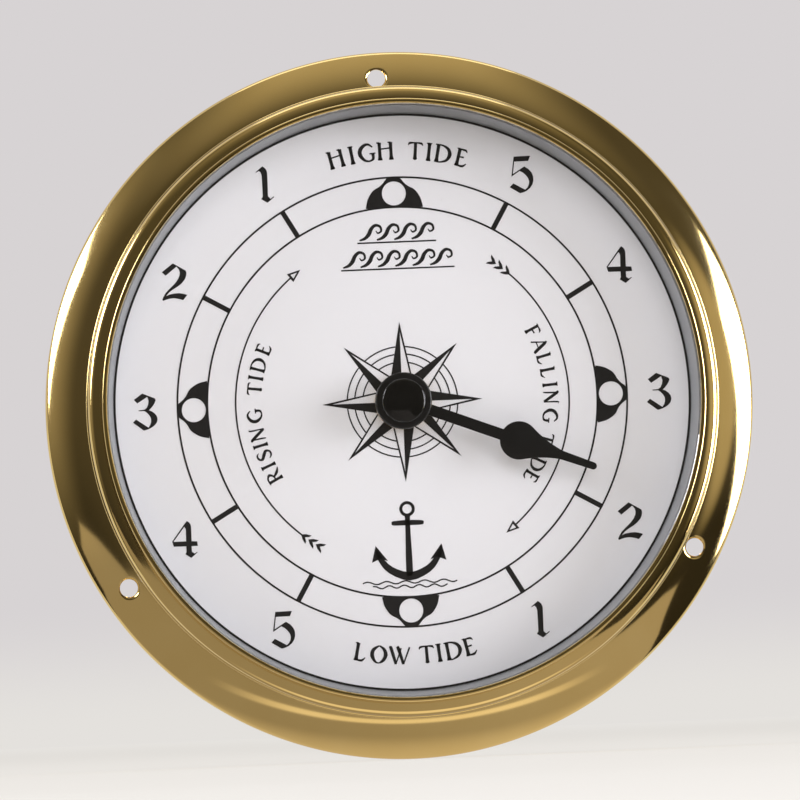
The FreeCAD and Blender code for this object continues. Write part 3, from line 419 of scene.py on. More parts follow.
# %% Numerals
DIGITS = {
    1: [[(-1.48, 2.01), (-.4, 2.95), (.14, 2.51), (.36, 2.01), (.4, 1.36), (.51, -1.89),
         (.94, -2.29), (1.44, -1.89), (1.5, -2.04), (.43, -2.94), (-.58, -2.36), (-.32, -1.96),
         (-.4, -.45), (-.51, 1.43), (-.69, 1.94), (-.97, 2.19), (-1.41, 1.9)]],
    2: [[(-2.05, 1.61), (-.29, 3.03), (1.78, 1.89), (1.89, 1.58), (1.87, 1.08), (1.66, .46),
         (1.1, -.22), (.48, -.71), (-.2, -1.14), (-.82, -1.61), (-1.37, -2.26), (-.88, -2.01),
         (-.07, -1.83), (.73, -1.76), (1.41, -1.86), (2.06, -2.04), (1.38, -2.88), (.73, -2.69),
         (-.07, -2.57), (-.82, -2.66), (-1.44, -2.85), (-1.81, -3.03), (-1.96, -2.82),
         (-1.75, -2.32), (-1.44, -1.76), (-1.0, -1.27), (-.38, -.65), (.11, -.15), (.54, .46),
         (.79, 1.02), (.85, 1.52), (.73, 2.01), (.3, 2.51), (-1.44, 1.05)]],
    3: [[(-1.83, 1.97), (-.5, 2.99), (1.52, 2.22), (1.67, 1.94), (1.52, 1.53), (1.24, 1.04),
         (.9, .61), (.59, .3), (1.02, .14), (1.52, -.2), (1.86, -.63), (1.98, -1.13),
         (1.89, -1.62), (1.52, -2.12), (1.02, -2.49), (.53, -2.74), (-.22, -2.98),
         (-1.98, -1.71), (-1.49, -1.19), (.53, -2.49), (.84, -1.99), (.96, -1.5), (.9, -.94),
         (.65, -.51), (.19, -.04), (-.15, .17), (-1.02, .14), (-1.11, .27), (-.15, .39),
         (.22, .67), (.46, 1.23), (.53, 1.78), (.31, 2.46), (-1.3, 1.38)]],
    4: [[(.28, 2.97), (.65, 2.72), (.9, 2.35), (.97, 1.98), (1.05, -.28), (1.95, -.31),
         (2.07, -1.02), (1.05, -1.08), (1.11, -1.98), (1.55, -2.26), (1.95, -1.98),
         (2.0, -2.09), (1.02, -2.97), (.06, -2.38), (.25, -2.04), (.19, -1.11), (-1.79, -1.18),
         (-2.07, -.37), (-.09, 2.48)],
        [(-.12, 2.04), (.12, 1.61), (.17, -.31), (-1.86, -.4)]],
    5: [[(-1.27, 2.88), (1.39, 3.03), (1.08, 2.2), (-1.18, 2.07), (-1.39, .06), (.43, 1.3),
         (1.14, .87), (1.64, .31), (1.89, -.31), (1.92, -.99), (1.76, -1.61), (1.39, -2.17),
         (.9, -2.6), (.46, -2.82), (-.22, -3.03), (-1.89, -2.07), (-1.33, -1.45),
         (.59, -2.44), (.96, -2.1), (1.18, -1.61), (1.24, -1.11), (1.08, -.62), (.71, -.12),
         (.22, .31), (-.31, .56), (-1.63, -.36)]],
}
NUMERAL_R = 41.4
UPRIGHT_DEG = 2.4
for side, first in (("right", 1), ("left", 7)):
    for hour, count in enumerate((5, 4, 3, 2, 1), first):
        x, z = turned_by([(0, NUMERAL_R)], hour * HOUR_DEG)[0]
        outlines = [moved(turned_by(loop, UPRIGHT_DEG), x, z) for loop in DIGITS[count]]
        prints.append(ink(f"numeral_{side}_{count}", outlines))
print("numerals", 2 * len(DIGITS))

# %% [markdown]
# ## Brush letters
# The words are capitals with wedge ends and a swelling stem. Each letter is a few strokes, and
# a stroke is a centre line with a half width at every point, as a broad pen leaves it.

# %% Letters as strokes
HAIR, WEDGE = 0.032, 0.02
BOLD = 1.22


def stem(x):
    """An upright stroke with a drop at its foot and a wedge at its head."""
    return [[(x, 0, .03), (x, .07, .1), (x, .22, .075), (x, .8, .075), (x, .98, .09)],
            [(x - .16, .98, WEDGE), (x, .95, .055)],
            [(x - .13, .03, WEDGE), (x, .07, .06), (x + .13, .03, WEDGE)]]


LETTERS = {
    "H": (stem(.13) + stem(.75) + [[(.13, .62, HAIR), (.75, .66, HAIR)]], .9),
    "I": (stem(.1) + [[(.1, .95, .055), (.24, .98, WEDGE)]], .24),
    "G": ([[(.82, .78, .03), (.62, .95, .05), (.38, .93, .07), (.14, .72, .09), (.1, .42, .09),
          (.3, .12, .06), (.55, .03, .04), (.78, .12, .06), (.8, .42, .075)], [(.62, .43, HAIR),
          (.95, .43, HAIR)]], .9),
    "T": ([[(0, .8, WEDGE), (.07, .92, .05), (.4, .95, HAIR), (.73, .92, .05), (.8, .8, WEDGE)],
          [(.4, .94, .07), (.4, .2, .075), (.4, .07, .1), (.4, 0, .03)]], .8),
    "D": (stem(.16) + [[(0, .97, .03), (.4, .96, .04), (.72, .8, .07), (.84, .5, .09),
          (.7, .18, .06), (.36, .03, .035), (.1, .04, .03)]], .9),
    "E": (stem(.13) + [[(.13, .95, HAIR), (.46, .94, .05), (.56, .82, WEDGE)], [(.13, .52, HAIR),
          (.44, .54, .04)], [(.13, .05, HAIR), (.46, .05, .055), (.64, .22, WEDGE)]], .64),
    "L": (stem(.13) + [[(.13, .05, HAIR), (.44, .05, .055), (.62, .24, WEDGE)]], .64),
    "O": ([[(.45, .98, .03), (.15, .74, .08), (.1, .4, .09), (.3, .08, .05), (.5, .02, .03)],
          [(.45, .98, .03), (.72, .8, .07), (.84, .5, .09), (.72, .18, .07), (.5, .02, .03)]], .9),
    "W": ([[(0, .98, .03), (.1, .9, .075), (.38, .02, .06)], [(.38, .02, .03), (.66, .9, HAIR)],
          [(.42, .98, .03), (.5, .9, .075), (.8, .02, .06)], [(.8, .02, .03),
          (1.12, .96, .04)]], 1.14),
    "R": (stem(.13) + [[(0, .97, .03), (.4, .96, .05), (.6, .76, .08), (.42, .54, .05),
          (.13, .5, HAIR)], [(.36, .52, .05), (.56, .2, .075), (.84, 0, .03)]], .82),
    "S": ([[(.6, .8, WEDGE), (.44, .95, .045), (.2, .9, .06), (.12, .7, .075), (.36, .5, .09),
          (.58, .3, .08), (.5, .07, .055), (.25, .03, .05), (.04, .2, WEDGE)]], .64),
    "N": ([[(.1, 0, .03), (.12, .3, .045), (.12, .95, .04)], [(0, .99, .03), (.14, .9, .08),
          (.72, .05, .075)], [(.74, .02, .03), (.74, .96, .045), (.88, .98, WEDGE)]], .88),
    "F": (stem(.13) + [[(.13, .95, HAIR), (.46, .94, .05), (.58, .82, WEDGE)], [(.13, .5, HAIR),
          (.46, .52, .045)]], .6),
    "A": ([[(.42, 1.02, .03), (.3, .7, .035), (.04, .03, .045)], [(.36, 1.03, .03),
          (.46, .85, .08), (.76, .08, .085), (.86, 0, .03)], [(.18, .36, HAIR),
          (.62, .36, HAIR)]], .86),
}
print("letters", len(LETTERS))

# %% Print the words
def stroke(points):
    """The outline of a stroke given as (x, z, half width)."""
    left, right = [], []
    for i, (x, z, half) in enumerate(points):
        before, after = points[max(i - 1, 0)], points[min(i + 1, len(points) - 1)]
        dx, dz = after[0] - before[0], after[1] - before[1]
        long = math.hypot(dx, dz)
        left.append((x - dz / long * half, z + dx / long * half))
        right.append((x + dz / long * half, z - dx / long * half))
    if len(points) > 2:
        left, right = smooth(left), smooth(right)
    return left + right[::-1]


def letter(name, glyph, size, radius, turn_deg, inward):
    """Prints a capital with its centre at a radius and an angle clockwise from 12."""
    strokes, width = LETTERS[glyph]
    grow = -size if inward else size
    parts = []
    for line in strokes:
        outline = stroke([(x, z, half * BOLD) for x, z, half in line])
        spots = [((x - width / 2) * grow, (z - 0.5) * grow) for x, z in outline]
        parts.append(ink(name, [turned_by(moved(spots, 0, radius), turn_deg)]))
    return parts


WORDS = [
    ("high_tide", "HIGHTIDE", 2.92, 40.5, (-12.9, -9.2, -5.9, -1.5, 5.3, 8.5, 11.6, 16.0), False),
    ("low_tide", "LOWTIDE", 2.92, 40.8, (191.9, 187.8, 183.1, 176.9, 174.0, 170.9, 167.0), True),
    ("rising_tide", "RISINGTIDE", 2.42, 23.9,
     (242.3, 246.8, 251.0, 255.2, 259.6, 266.7, 277.2, 281.6, 286.5, 293.1), False),
    ("falling_tide", "FALLINGTIDE", 2.42, 23.9,
     (63.9, 69.8, 75.4, 80.9, 85.8, 90.6, 97.6, 106.8, 111.5, 117.1, 122.5), False),
]
for name, glyphs, size, radius, turns, inward in WORDS:
    parts = []
    for glyph, turn in zip(glyphs, turns):
        parts += letter(name, glyph, size, radius, turn, inward)
    prints.append(joined("words_" + name, parts))
print("words", len(WORDS))

# %% [markdown]
# ## Moons, arrows and the compass star
# A full moon stands at each quarter in a black arch. Two thin arrows say which way the hand
# goes, and an eight-pointed star marks the centre.

# %% Moons
MOON_R, MOON_CENTRE, ARCH_HALF = 1.93, 33.6, 4.61
MOON_LAYERS = 1.5
arch_side = [(-ARCH_HALF, 31.3), (-4.42, 32.2), (-4.19, 32.9), (-3.62, 33.84), (-3.07, 34.35),
             (-2.45, 34.67), (-1.81, 35.17), (-1.26, 35.85), (-0.89, 36.2)]
arch = smooth(arch_side)
arch += [(-x, z) for x, z in reversed(arch)]
foot_xs = [ARCH_HALF * (1 - i / 5) for i in range(1, 10)]
arch += [(x, math.sqrt(INNER_RING ** 2 - x * x)) for x in foot_xs]
moon = on_arc((0, MOON_CENTRE), MOON_R, 90, -264, 59)  # stops a step before its start
for quarter in range(4):
    outlines = [turned_by(loop, quarter * 90) for loop in (arch, moon)]
    prints.append(ink(f"moon_{quarter * 3 or 12}", outlines, MOON_LAYERS))
print("moons", 4)

# %% Arrows
ARROW_R, ARROW_LINE, ARROW_STEPS, HEAD_BACK_DEG = 26.85, 0.26, 72, 2
chevron = [(0.15, 0.0), (-0.45, 0.5), (-1.3, 0.85), (-1.15, 0.45), (-0.62, 0.0), (-1.15, -0.45),
           (-1.3, -0.85), (-0.45, -0.5)]
arrowhead = [[(1.1, 0.0), (-1.05, 0.82), (-1.05, -0.82)],
             [(0.35, 0.0), (-0.67, 0.38), (-0.67, -0.38)]]


def along(loop, turn_deg):
    """A shape that points along +x, laid clockwise on the arrow's circle."""
    return turned_by(moved(loop, 0, ARROW_R), turn_deg)


for name, fletch, head in (("falling", (36.2, 39.2, 42.2), 141.7),
                           ("rising", (213.4, 216.4, 219.4), 322.3)):
    sweep = head - HEAD_BACK_DEG - fletch[2]
    parts = [ink_ring("arrow", ARROW_R, ARROW_LINE, fletch[2], sweep, ARROW_STEPS)]
    parts += [ink("arrow", [along(chevron, turn)]) for turn in fletch]
    parts.append(ink("arrow", [along(loop, head) for loop in arrowhead]))
    prints.append(joined("arrow_" + name, parts))
print("arrows", 2)

# %% Compass star
STAR_TIP, STAR_BASE, STAR_HALF, STAR_HALF_AT = 12.9, 4.2, 1.49, 5.1
STAR_RINGS, STAR_LINE, STAR_RING_STEPS = (8.9, 7.7, 6.4), 0.22, 12
PALE_EDGE, PALE_TIP, DARK_LAYERS = 0.24, 1.6, 1.25
POINTS = 8
POINT_DEG = TURN / POINTS


def half_width(radius):
    """Half the width of one of the star's points at a radius."""
    return STAR_HALF * (STAR_TIP - radius) / (STAR_TIP - STAR_HALF_AT)


base_half = half_width(STAR_BASE)
dark_half = [(0, STAR_TIP), (0, STAR_BASE), (-base_half, STAR_BASE)]
pale_edge = [(0, STAR_TIP), (base_half, STAR_BASE), (base_half - PALE_EDGE, STAR_BASE),
             (0, STAR_TIP - PALE_TIP)]
star = []
for point in range(POINTS):
    star += [ink("star", [turned_by(dark_half, point * POINT_DEG)], DARK_LAYERS),
             ink("star", [turned_by(pale_edge, point * POINT_DEG)])]
for radius in STAR_RINGS:
    gap = math.degrees(math.asin(half_width(radius) / radius))
    for point in range(POINTS):
        star.append(ink_ring("star", radius, STAR_LINE, point * POINT_DEG + gap,
                             POINT_DEG - 2 * gap, STAR_RING_STEPS))
prints.append(joined("compass_star", star))
print("star parts", len(star))

# %% [markdown]
# ## Ornaments
# Above the centre run two rows of curling waves, and below it an anchor hangs between lines of
# water. Both are old shapes that any seaside clock may carry.

# %% Waves
WAVE_SIZE = 2.5
WAVE_PITCH, WAVE_BACK = 1.12 * WAVE_SIZE, 0.1 * WAVE_SIZE
curl = stroke([(0.0, 0.0, 0.05), (0.35, 0.12, 0.1), (0.62, 0.38, 0.13), (0.78, 0.72, 0.12),
               (1.05, 0.95, 0.1), (1.36, 0.86, 0.08), (1.42, 0.56, 0.07), (1.2, 0.44, 0.06),
               (1.08, 0.6, 0.03)])
curl = [(x * WAVE_SIZE, z * WAVE_SIZE) for x, z in curl]
waves = []
for count, z in ((4, 26.2), (6, 21.9)):
    reach = count / 2 * WAVE_PITCH
    for i in range(count):
        waves.append(ink("waves", [moved(curl, i * WAVE_PITCH - reach - WAVE_BACK, z)]))
    waves.append(ink("waves", [rectangle(-reach - 0.6, reach + 0.9, z - 0.55, z - 0.3)]))
prints.append(joined("wave_ornament", waves))
print("waves", len(waves))

# %% Anchor
ANCHOR_Z = -22.6
RIPPLE_HEIGHT, RIPPLE_HALF = 0.22, 0.11
anchor_lines = [
    [(0, 4.2, 0.42), (0, 2.0, 0.4), (0, -4.4, 0.55), (0, -5.6, 0.35)],
    [(-2.6, 3.1, 0.16), (-2.2, 3.1, 0.36), (0, 3.15, 0.42), (2.2, 3.1, 0.36), (2.6, 3.1, 0.16)],
    [(-5.2, -1.2, 0.12), (-4.6, -2.6, 0.42), (-3.0, -4.4, 0.58), (0, -5.5, 0.68),
     (3.0, -4.4, 0.58), (4.6, -2.6, 0.42), (5.2, -1.2, 0.12)],
]
anchor_shapes = [[stroke(line)] for line in anchor_lines]
for side in (-1, 1):
    anchor_shapes.append([[(side * 5.3, -0.4), (side * 6.0, -3.1), (side * 4.6, -2.5),
                           (side * 3.4, -2.9)]])
anchor_shapes.append([on_arc((0, 5.35), r, 90, -260, 35) for r in (1.25, 0.75)])
for row, reach, z in ((0, 7.6, -6.4), (1, 6.0, -7.1)):
    ripple = [(-reach + i * reach / 12, z + RIPPLE_HEIGHT * math.sin(i * 1.3 + row), RIPPLE_HALF)
              for i in range(25)]
    anchor_shapes.append([stroke(ripple)])
anchor = [ink("anchor", [moved(loop, 0, ANCHOR_Z) for loop in loops]) for loops in anchor_shapes]
prints.append(joined("anchor_ornament", anchor))
print("anchor parts", len(anchor))

# %% [markdown]
# ## Battery
# The cell is drawn steel in a printed plastic jacket. Its CAD mesh has flat facets, which show
# on such a smooth tube, so it is turned again about its own axis.

# %% Turn the cell
CELL_R, CELL_HALF, CELL_Z, CELL_H = 7.1, 25.25, -18.8, 8.5
CELL_ROUND, CELL_STEPS = 0.6, 96
JACKET_END = CELL_HALF - 1.0
round_h = CELL_R - CELL_ROUND
cell_section = ([(-CELL_HALF, 0)]
                + on_arc((-CELL_HALF + CELL_ROUND, round_h), CELL_ROUND, -90, 0, 6)
                + [(-CELL_HALF + 0.9, CELL_R), (JACKET_END - 2.4, CELL_R)]
                + on_arc((JACKET_END - CELL_ROUND, round_h), CELL_ROUND, 0, 90, 6)
                + [(JACKET_END, 2.7), (CELL_HALF - 0.2, 2.7), (CELL_HALF, 2.5), (CELL_HALF, 0)])
cell_spots = [place(along_cell, CELL_Z + radius, CELL_H) for along_cell, radius in cell_section]
cell = extruded_point(cell_spots)
bpy.ops.mesh.spin(steps=CELL_STEPS, angle=2 * math.pi, center=cell_spots[0], axis=(1, 0, 0))
bpy.ops.object.mode_set(mode="OBJECT")
finish_mesh(cell, "battery_tube", "clock")
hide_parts("battery_cell")
print("cell faces", len(cell.data.polygons))

# %% [markdown]
# ## Finishes
# Each finish is a small network of nodes on the piece's own coordinates. One function adds a
# node, sets its values and links it. Colours are written as hex and made linear by another.

# %% Colour and node helpers
def colour(code):
    """An sRGB hex colour as linear RGBA."""
    parts = [int(code[i:i + 2], 16) / 255 for i in (0, 2, 4)]
    return tuple(c / 12.92 if c <= 0.04045 else ((c + 0.055) / 1.055) ** 2.4
                 for c in parts) + (1.0,)


def fit(tree, made, values=None, links=None):
    """Sets sockets to values and links others. A node stands for its first output."""
    for key, value in (values or {}).items():
        made.inputs[key].default_value = value
    for key, source in (links or {}).items():
        tree.links.new(getattr(source, "outputs", [source])[0], made.inputs[key])
    return made


def node(tree, kind, values=None, links=None, **settings):
    """Adds one node with its settings, its sockets' values and its links."""
    made = tree.nodes.new("ShaderNode" + kind)
    for key, value in settings.items():
        setattr(made, key, value)
    return fit(tree, made, values, links)


def surface(name):
    """A new material with a Principled shader: returns it, its tree, shader and coordinates."""
    made = bpy.data.materials.new(name)
    made.use_nodes = True
    tree = made.node_tree
    return made, tree, tree.nodes["Principled BSDF"], node(tree, "TexCoord").outputs["Object"]


def patterned(name, dark, pale, rough, size, bump, metallic=0.0, stretch=(1, 1, 1)):
    """A finish of one grain: two colours, a range of roughness, its size and height in mm."""
    made, tree, shader, spots = surface(name)
    aimed = node(tree, "Mapping", {"Scale": stretch}, {"Vector": spots})
    grain = node(tree, "TexNoise", {"Scale": 1 / (size * MM), "Detail": 3.0}, {"Vector": aimed})
    spread = node(tree, "MapRange", {"From Min": 0.35, "From Max": 0.65}, {"Value": grain})
    tint = node(tree, "Mix", {6: colour(dark), 7: colour(pale)}, {0: spread}, data_type="RGBA")
    gloss = node(tree, "MapRange", {"To Min": rough[0], "To Max": rough[1]}, {"Value": spread})
    relief = node(tree, "Bump", {"Distance": bump * MM}, {"Height": grain})
    fit(tree, shader, {"Metallic": metallic},
        {"Base Color": tint.outputs[2], "Roughness": gloss, "Normal": relief})
    return made


print("white is", colour("ffffff"))

# %% [markdown]
# ## Brass
# Brass is spun and turned, then polished and lacquered. The tool leaves rings finer than a hair
# round the axis, so the pattern follows the radius. The lacquer adds a clear coat.

# %% Polished brass
# Lacquered brass: long sharp bands of light in a warm mirror, softened a little by slow clouds.
# The real rings are too fine to show, so these are drawn 0.35 mm wide.
RING_SIZE, RING_RELIEF, CLOUD_SIZE = 0.35, 0.0009, 9
brass, tree, shader, spots = surface("polished_brass")
parts = node(tree, "SeparateXYZ", links={0: spots})
flat = node(tree, "CombineXYZ", links={0: parts.outputs[0], 1: parts.outputs[2]})
radius = node(tree, "VectorMath", links={0: flat}, operation="LENGTH")
ring_spot = node(tree, "CombineXYZ", links={0: radius.outputs["Value"], 1: parts.outputs[1]})
rings = node(tree, "TexNoise", {"Scale": 1 / (RING_SIZE * MM), "Detail": 2.0},
             {"Vector": ring_spot})
cloud = node(tree, "TexNoise", {"Scale": 1 / (CLOUD_SIZE * MM), "Detail": 3.0},
             {"Vector": spots})
tint = node(tree, "Mix", {6: colour("e4c67c"), 7: colour("edd28c")}, {0: cloud},
            data_type="RGBA")
gloss = node(tree, "MapRange", {"From Min": 0.3, "From Max": 0.7, "To Min": 0.08,
                                "To Max": 0.105}, {"Value": cloud})
relief = node(tree, "Bump", {"Strength": 0.5, "Distance": RING_RELIEF * MM}, {"Height": rings})
fit(tree, shader, {"Metallic": 1.0, "Coat Weight": 0.3, "Coat Roughness": 0.15},
    {"Base Color": tint.outputs[2], "Roughness": gloss, "Normal": relief})
print(brass.name)

# %% [markdown]
# ## Glass
# Clear float glass bends the light a little and mirrors the room at grazing angles. Rays from
# lamps pass it freely, so the dial behind it is lit as in a room.

# %% Float glass
# Polished glass: nearly unseen, with a faint haze where it was wiped.
WIPE_SIZE = 14


def seen_directly(tree):
    """1 for the camera's rays and for those that have come through the glass, else 0."""
    path = node(tree, "LightPath")
    return node(tree, "Math", links={0: path.outputs["Is Camera Ray"],
                                     1: path.outputs["Is Transmission Ray"]},
                operation="MAXIMUM")


clear, tree, shader, spots = surface("float_glass")
wipe = node(tree, "TexNoise", {"Scale": 1 / (WIPE_SIZE * MM), "Detail": 4.0}, {"Vector": spots})
haze = node(tree, "MapRange", {"From Min": 0.5, "From Max": 0.8, "To Max": 0.02},
            {"Value": wipe})
fit(tree, shader, {"Base Color": colour("fcfcfc"), "Transmission Weight": 1.0, "IOR": 1.5},
    {"Roughness": haze})
lit_through = node(tree, "BsdfTransparent", {"Color": colour("f9f9f9")})
both = node(tree, "MixShader", links={0: seen_directly(tree), 1: lit_through, 2: shader})
fit(tree, tree.nodes["Material Output"], links={"Surface": both})
print(clear.name)

# %% [markdown]
# ## Dial, ink and paint
# The dial is aluminium with a sprayed white enamel, which has a faint orange-peel skin and a
# few specks of dust. The ink is matt black. The hand is satin black enamel, the cap glossy.

# %% Dial enamel with dust
# Sprayed enamel: an even soft white with a faint ripple, and a grey speck here and there.
PEEL_SIZE, PEEL_HEIGHT, SPECK_GAP, TONE_SIZE = 0.9, 0.002, 2.6, 30
SPECK_INNER, SPECK_OUTER, SPECK_RARE = 0.015, 0.035, 0.93
white, tree, shader, spots = surface("white_dial_enamel")
peel = node(tree, "TexNoise", {"Scale": 1 / (PEEL_SIZE * MM), "Detail": 2.0}, {"Vector": spots})
specks = node(tree, "TexVoronoi", {"Scale": 1 / (SPECK_GAP * MM)}, {"Vector": spots})
chance = node(tree, "SeparateColor", links={0: specks.outputs["Color"]})
near = node(tree, "MapRange", {"From Min": SPECK_INNER, "From Max": SPECK_OUTER, "To Min": 1.0,
                               "To Max": 0.0}, {"Value": specks.outputs["Distance"]})
rare = node(tree, "Math", {1: SPECK_RARE}, {0: chance}, operation="GREATER_THAN")
dust = node(tree, "Math", links={0: near, 1: rare}, operation="MULTIPLY")
cloud = node(tree, "TexNoise", {"Scale": 1 / (TONE_SIZE * MM), "Detail": 2.0},
             {"Vector": spots})
paint = node(tree, "Mix", {6: colour("ededf0"), 7: colour("f2f2f4")}, {0: cloud},
             data_type="RGBA")
tint = node(tree, "Mix", {7: colour("8d8a88")}, {0: dust, 6: paint.outputs[2]},
            data_type="RGBA")
relief = node(tree, "Bump", {"Distance": PEEL_HEIGHT * MM}, {"Height": peel})
fit(tree, shader, {"Roughness": 0.42}, {"Base Color": tint.outputs[2], "Normal": relief})
print(white.name)

# %% [markdown]
# ## The other finishes
# Each of these is one grain at a real size: moulded plastic has a spark-eroded skin of about
# 0.3 mm, rolled steel fine lines, wire its turns, and a jacket is a smooth printed sleeve.

# %% Finishes with one grain
# Two colours, roughness from and to, grain size and height in mm, metallic, stretch.
FINISHES = {
    # A matt black film.
    "printing_ink": ("100f10", "1a191a", (0.4, 0.5), 0.25, 0.003),
    # Stoved paint: black with a broad soft shine.
    "satin_black_enamel": ("070708", "0c0c0d", (0.32, 0.42), 0.4, 0.002),
    # A polished mould: one small sharp highlight in near black.
    "glossy_black_plastic": ("040404", "070707", (0.05, 0.09), 3.0, 0.0004),
    # Dull, without a highlight.
    "black_nitrile_rubber": ("0d0d0d", "181817", (0.55, 0.7), 0.3, 0.006),
    # An even mid grey with a soft sheen.
    "grey_moulded_spacer": ("828487", "929497", (0.35, 0.5), 0.3, 0.003),
    # Tiny glints all over a dull black.
    "spark_grained_abs": ("111112", "1b1b1c", (0.5, 0.65), 0.3, 0.02),
    # Silky yellow metal with fine turning lines.
    "turned_nut_brass": ("b08d45", "c9a65c", (0.25, 0.35), 0.2, 0.002, 1.0, (1, 4, 1)),
    # Chalky dark grey.
    "soft_black_rubber": ("1a1a1a", "242423", (0.7, 0.8), 0.4, 0.01),
    # Smooth dark green under a thin clear film.
    "printed_foil_jacket": ("1c3b33", "23473d", (0.25, 0.32), 1.2, 0.002),
    # Pale warm silver, with rolling lines along the strip.
    "nickelled_spring_steel": ("b9b8b3", "cfcec9", (0.22, 0.32), 0.25, 0.002, 1.0, (1, 1, 6)),
    # Green lacquer over a faint weave.
    "glass_fibre_laminate": ("1f5a2e", "2a6b38", (0.4, 0.5), 0.5, 0.004),
    # A wet-looking black drop.
    "black_potting_resin": ("0a0a0a", "121212", (0.15, 0.3), 0.6, 0.006),
    # Bright and a little warm, drawn lengthwise.
    "drawn_nickel_silver": ("c7c4ba", "d8d5cc", (0.2, 0.28), 0.3, 0.001, 1.0, (1, 5, 1)),
    # Milky, as thick as wax.
    "natural_nylon": ("d6cfbd", "e0dac9", (0.45, 0.55), 0.4, 0.006),
    # Red-brown threads that glint one by one.
    "enamelled_copper_wire": ("8e3f1c", "b96032", (0.25, 0.35), 0.12, 0.02, 1.0, (8, 1, 1)),
    # Grey sheets with fine lines along them.
    "motor_lamination_iron": ("6f7072", "85878a", (0.35, 0.45), 0.25, 0.002, 1.0, (1, 1, 5)),
    # Dark grey with a fine pressed grit.
    "sintered_magnet": ("3a3a3d", "4b4b4e", (0.5, 0.6), 0.15, 0.008, 0.8),
    # Off-white and slippery.
    "gear_acetal": ("e4e2da", "efede6", (0.35, 0.45), 0.5, 0.003),
    # Bright grey, ground round its length.
    "ground_arbor_steel": ("a5a6a8", "bcbdbf", (0.18, 0.26), 0.15, 0.001, 1.0, (1, 6, 1)),
}
finishes = {name: patterned(name, *values) for name, values in FINISHES.items()}
print("finishes of one grain", len(finishes))

# %% Give each piece its finish
def paint_with(piece, finish):
    """Puts one material on a whole piece."""
    piece.data.materials.clear()
    piece.data.materials.append(finish)


for pieces, finish in ((prints, finishes["printing_ink"]), ([case, bezel], brass),
                       ([glass], clear), ([dial], white),
                       ([gasket], finishes["black_nitrile_rubber"]),
                       ([spacer], finishes["grey_moulded_spacer"]),
                       ([blade, boss], finishes["satin_black_enamel"]),
                       ([cap], finishes["glossy_black_plastic"]),
                       ([cell], finishes["printed_foil_jacket"])):
    for piece in pieces:
        paint_with(piece, finish)
CARRIED = {
    "soft_black_rubber": ["dial_washer"], "turned_nut_brass": ["fixing_nut"],
    "spark_grained_abs": ["movement_front", "movement_cover", "setting_knob"],
    "nickelled_spring_steel": ["contact_plus", "contact_minus"],
    "glass_fibre_laminate": ["circuit_board"], "black_potting_resin": ["driver_chip"],
    "drawn_nickel_silver": ["quartz_can"], "natural_nylon": ["coil_bobbin"],
    "enamelled_copper_wire": ["coil_winding"], "motor_lamination_iron": ["coil_core", "stator"],
    "sintered_magnet": ["rotor_magnet"], "ground_arbor_steel": ["centre_arbor"],
    "gear_acetal": ["rotor_pinion", "intermediate_wheel", "seconds_wheel", "third_wheel",
                    "centre_wheel", "cannon_pinion", "motion_wheel", "tide_wheel"],
}
for finish, names in CARRIED.items():
    for name in names:
        paint_with(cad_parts[name], finishes[finish])
print("carried over", sum(len(names) for names in CARRIED.values()))

# %% [markdown]
# ## Studio
# A pale floor runs back to a pale wall and meets it in the same tone. A large soft lamp at the
# right and a smaller one at the left draw the long bright bands on the brass. A third lights
# the top edge from behind, and a fill above the camera, which the metal doesn't show, lights
# the dial evenly. The room in front is dim and its ceiling glows a little, and that gives the
# brass its dark and tan parts. In the brass the floor is a small glowing card under the clock,
# seen only in the metal: a painted reflection of a lit table, with painted brighter parts.

# %% Floor
# Outlines are in mm, and what a node reads is in metres. A level of 1 is white.
FLOOR_Z, FLOOR_HALF = -0.0575, 6000
NEAR_TONE, MEETING_TONE, WALL_TONE = "f8f5f0", "e4e1dd", "d7d3d4"
NEAR_Y, FAR_Y, NEAR_LEVEL, NEAR_SHARE = 0.1, 2.5, 0.93, 0.75


def laid_flat(name, outline, finish):
    """A level sheet of the stage, from its (x, y) outline in mm."""
    sheet = filled(name, [outline])
    sheet.location = (0, 0, FLOOR_Z)
    bpy.ops.object.transform_apply()
    paint_with(sheet, finish)
    sheet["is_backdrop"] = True
    return sheet


# A matt painted table: pale and even, and it keeps the clock's soft shadow.
floor_paint, tree, shader, spots = surface("pale_table")
fit(tree, shader, {"Base Color": colour("e6e2dc"), "Roughness": 0.6})
parts = node(tree, "SeparateXYZ", links={0: spots})
far = node(tree, "MapRange", {"From Min": NEAR_Y, "From Max": FAR_Y}, {"Value": parts.outputs[1]})
tone = node(tree, "Mix", {6: colour(NEAR_TONE), 7: colour(MEETING_TONE)}, {0: far},
            data_type="RGBA")
level = node(tree, "MapRange", {"To Min": NEAR_LEVEL}, {"Value": far})
glow = node(tree, "Emission", links={"Color": tone.outputs[2], "Strength": level})
share = node(tree, "MapRange", {"To Min": NEAR_SHARE}, {"Value": far},
             interpolation_type="SMOOTHSTEP")
seen = node(tree, "Math", links={0: seen_directly(tree), 1: share}, operation="MULTIPLY")
both = node(tree, "MixShader", links={0: seen, 1: shader, 2: glow})
fit(tree, tree.nodes["Material Output"], links={"Surface": both})
floor = laid_flat("studio_floor", rectangle(-FLOOR_HALF, FLOOR_HALF, -FLOOR_HALF, FLOOR_HALF),
                  floor_paint)
floor.visible_glossy = False
print(floor.name)

# %% Reflection card
CARD_POINTS = [(88, -57), (80, -73), (57, -74), (50, -110), (50, -420), (-100, -420),
               (-105, -165), (-125, -157), (-152, -143), (-192, -97), (-150, -41), (-101, -21),
               (-80, 6), (45, 6), (62, -12)]
CARD_MIDDLE = 0.07
CARD_LEVEL, PAINTED_FOOT_LEVEL, PAINTED_SIDE_LEVEL, PAINTED_LINE_LEVEL = 0.36, 0.3, 0.10, 0.6
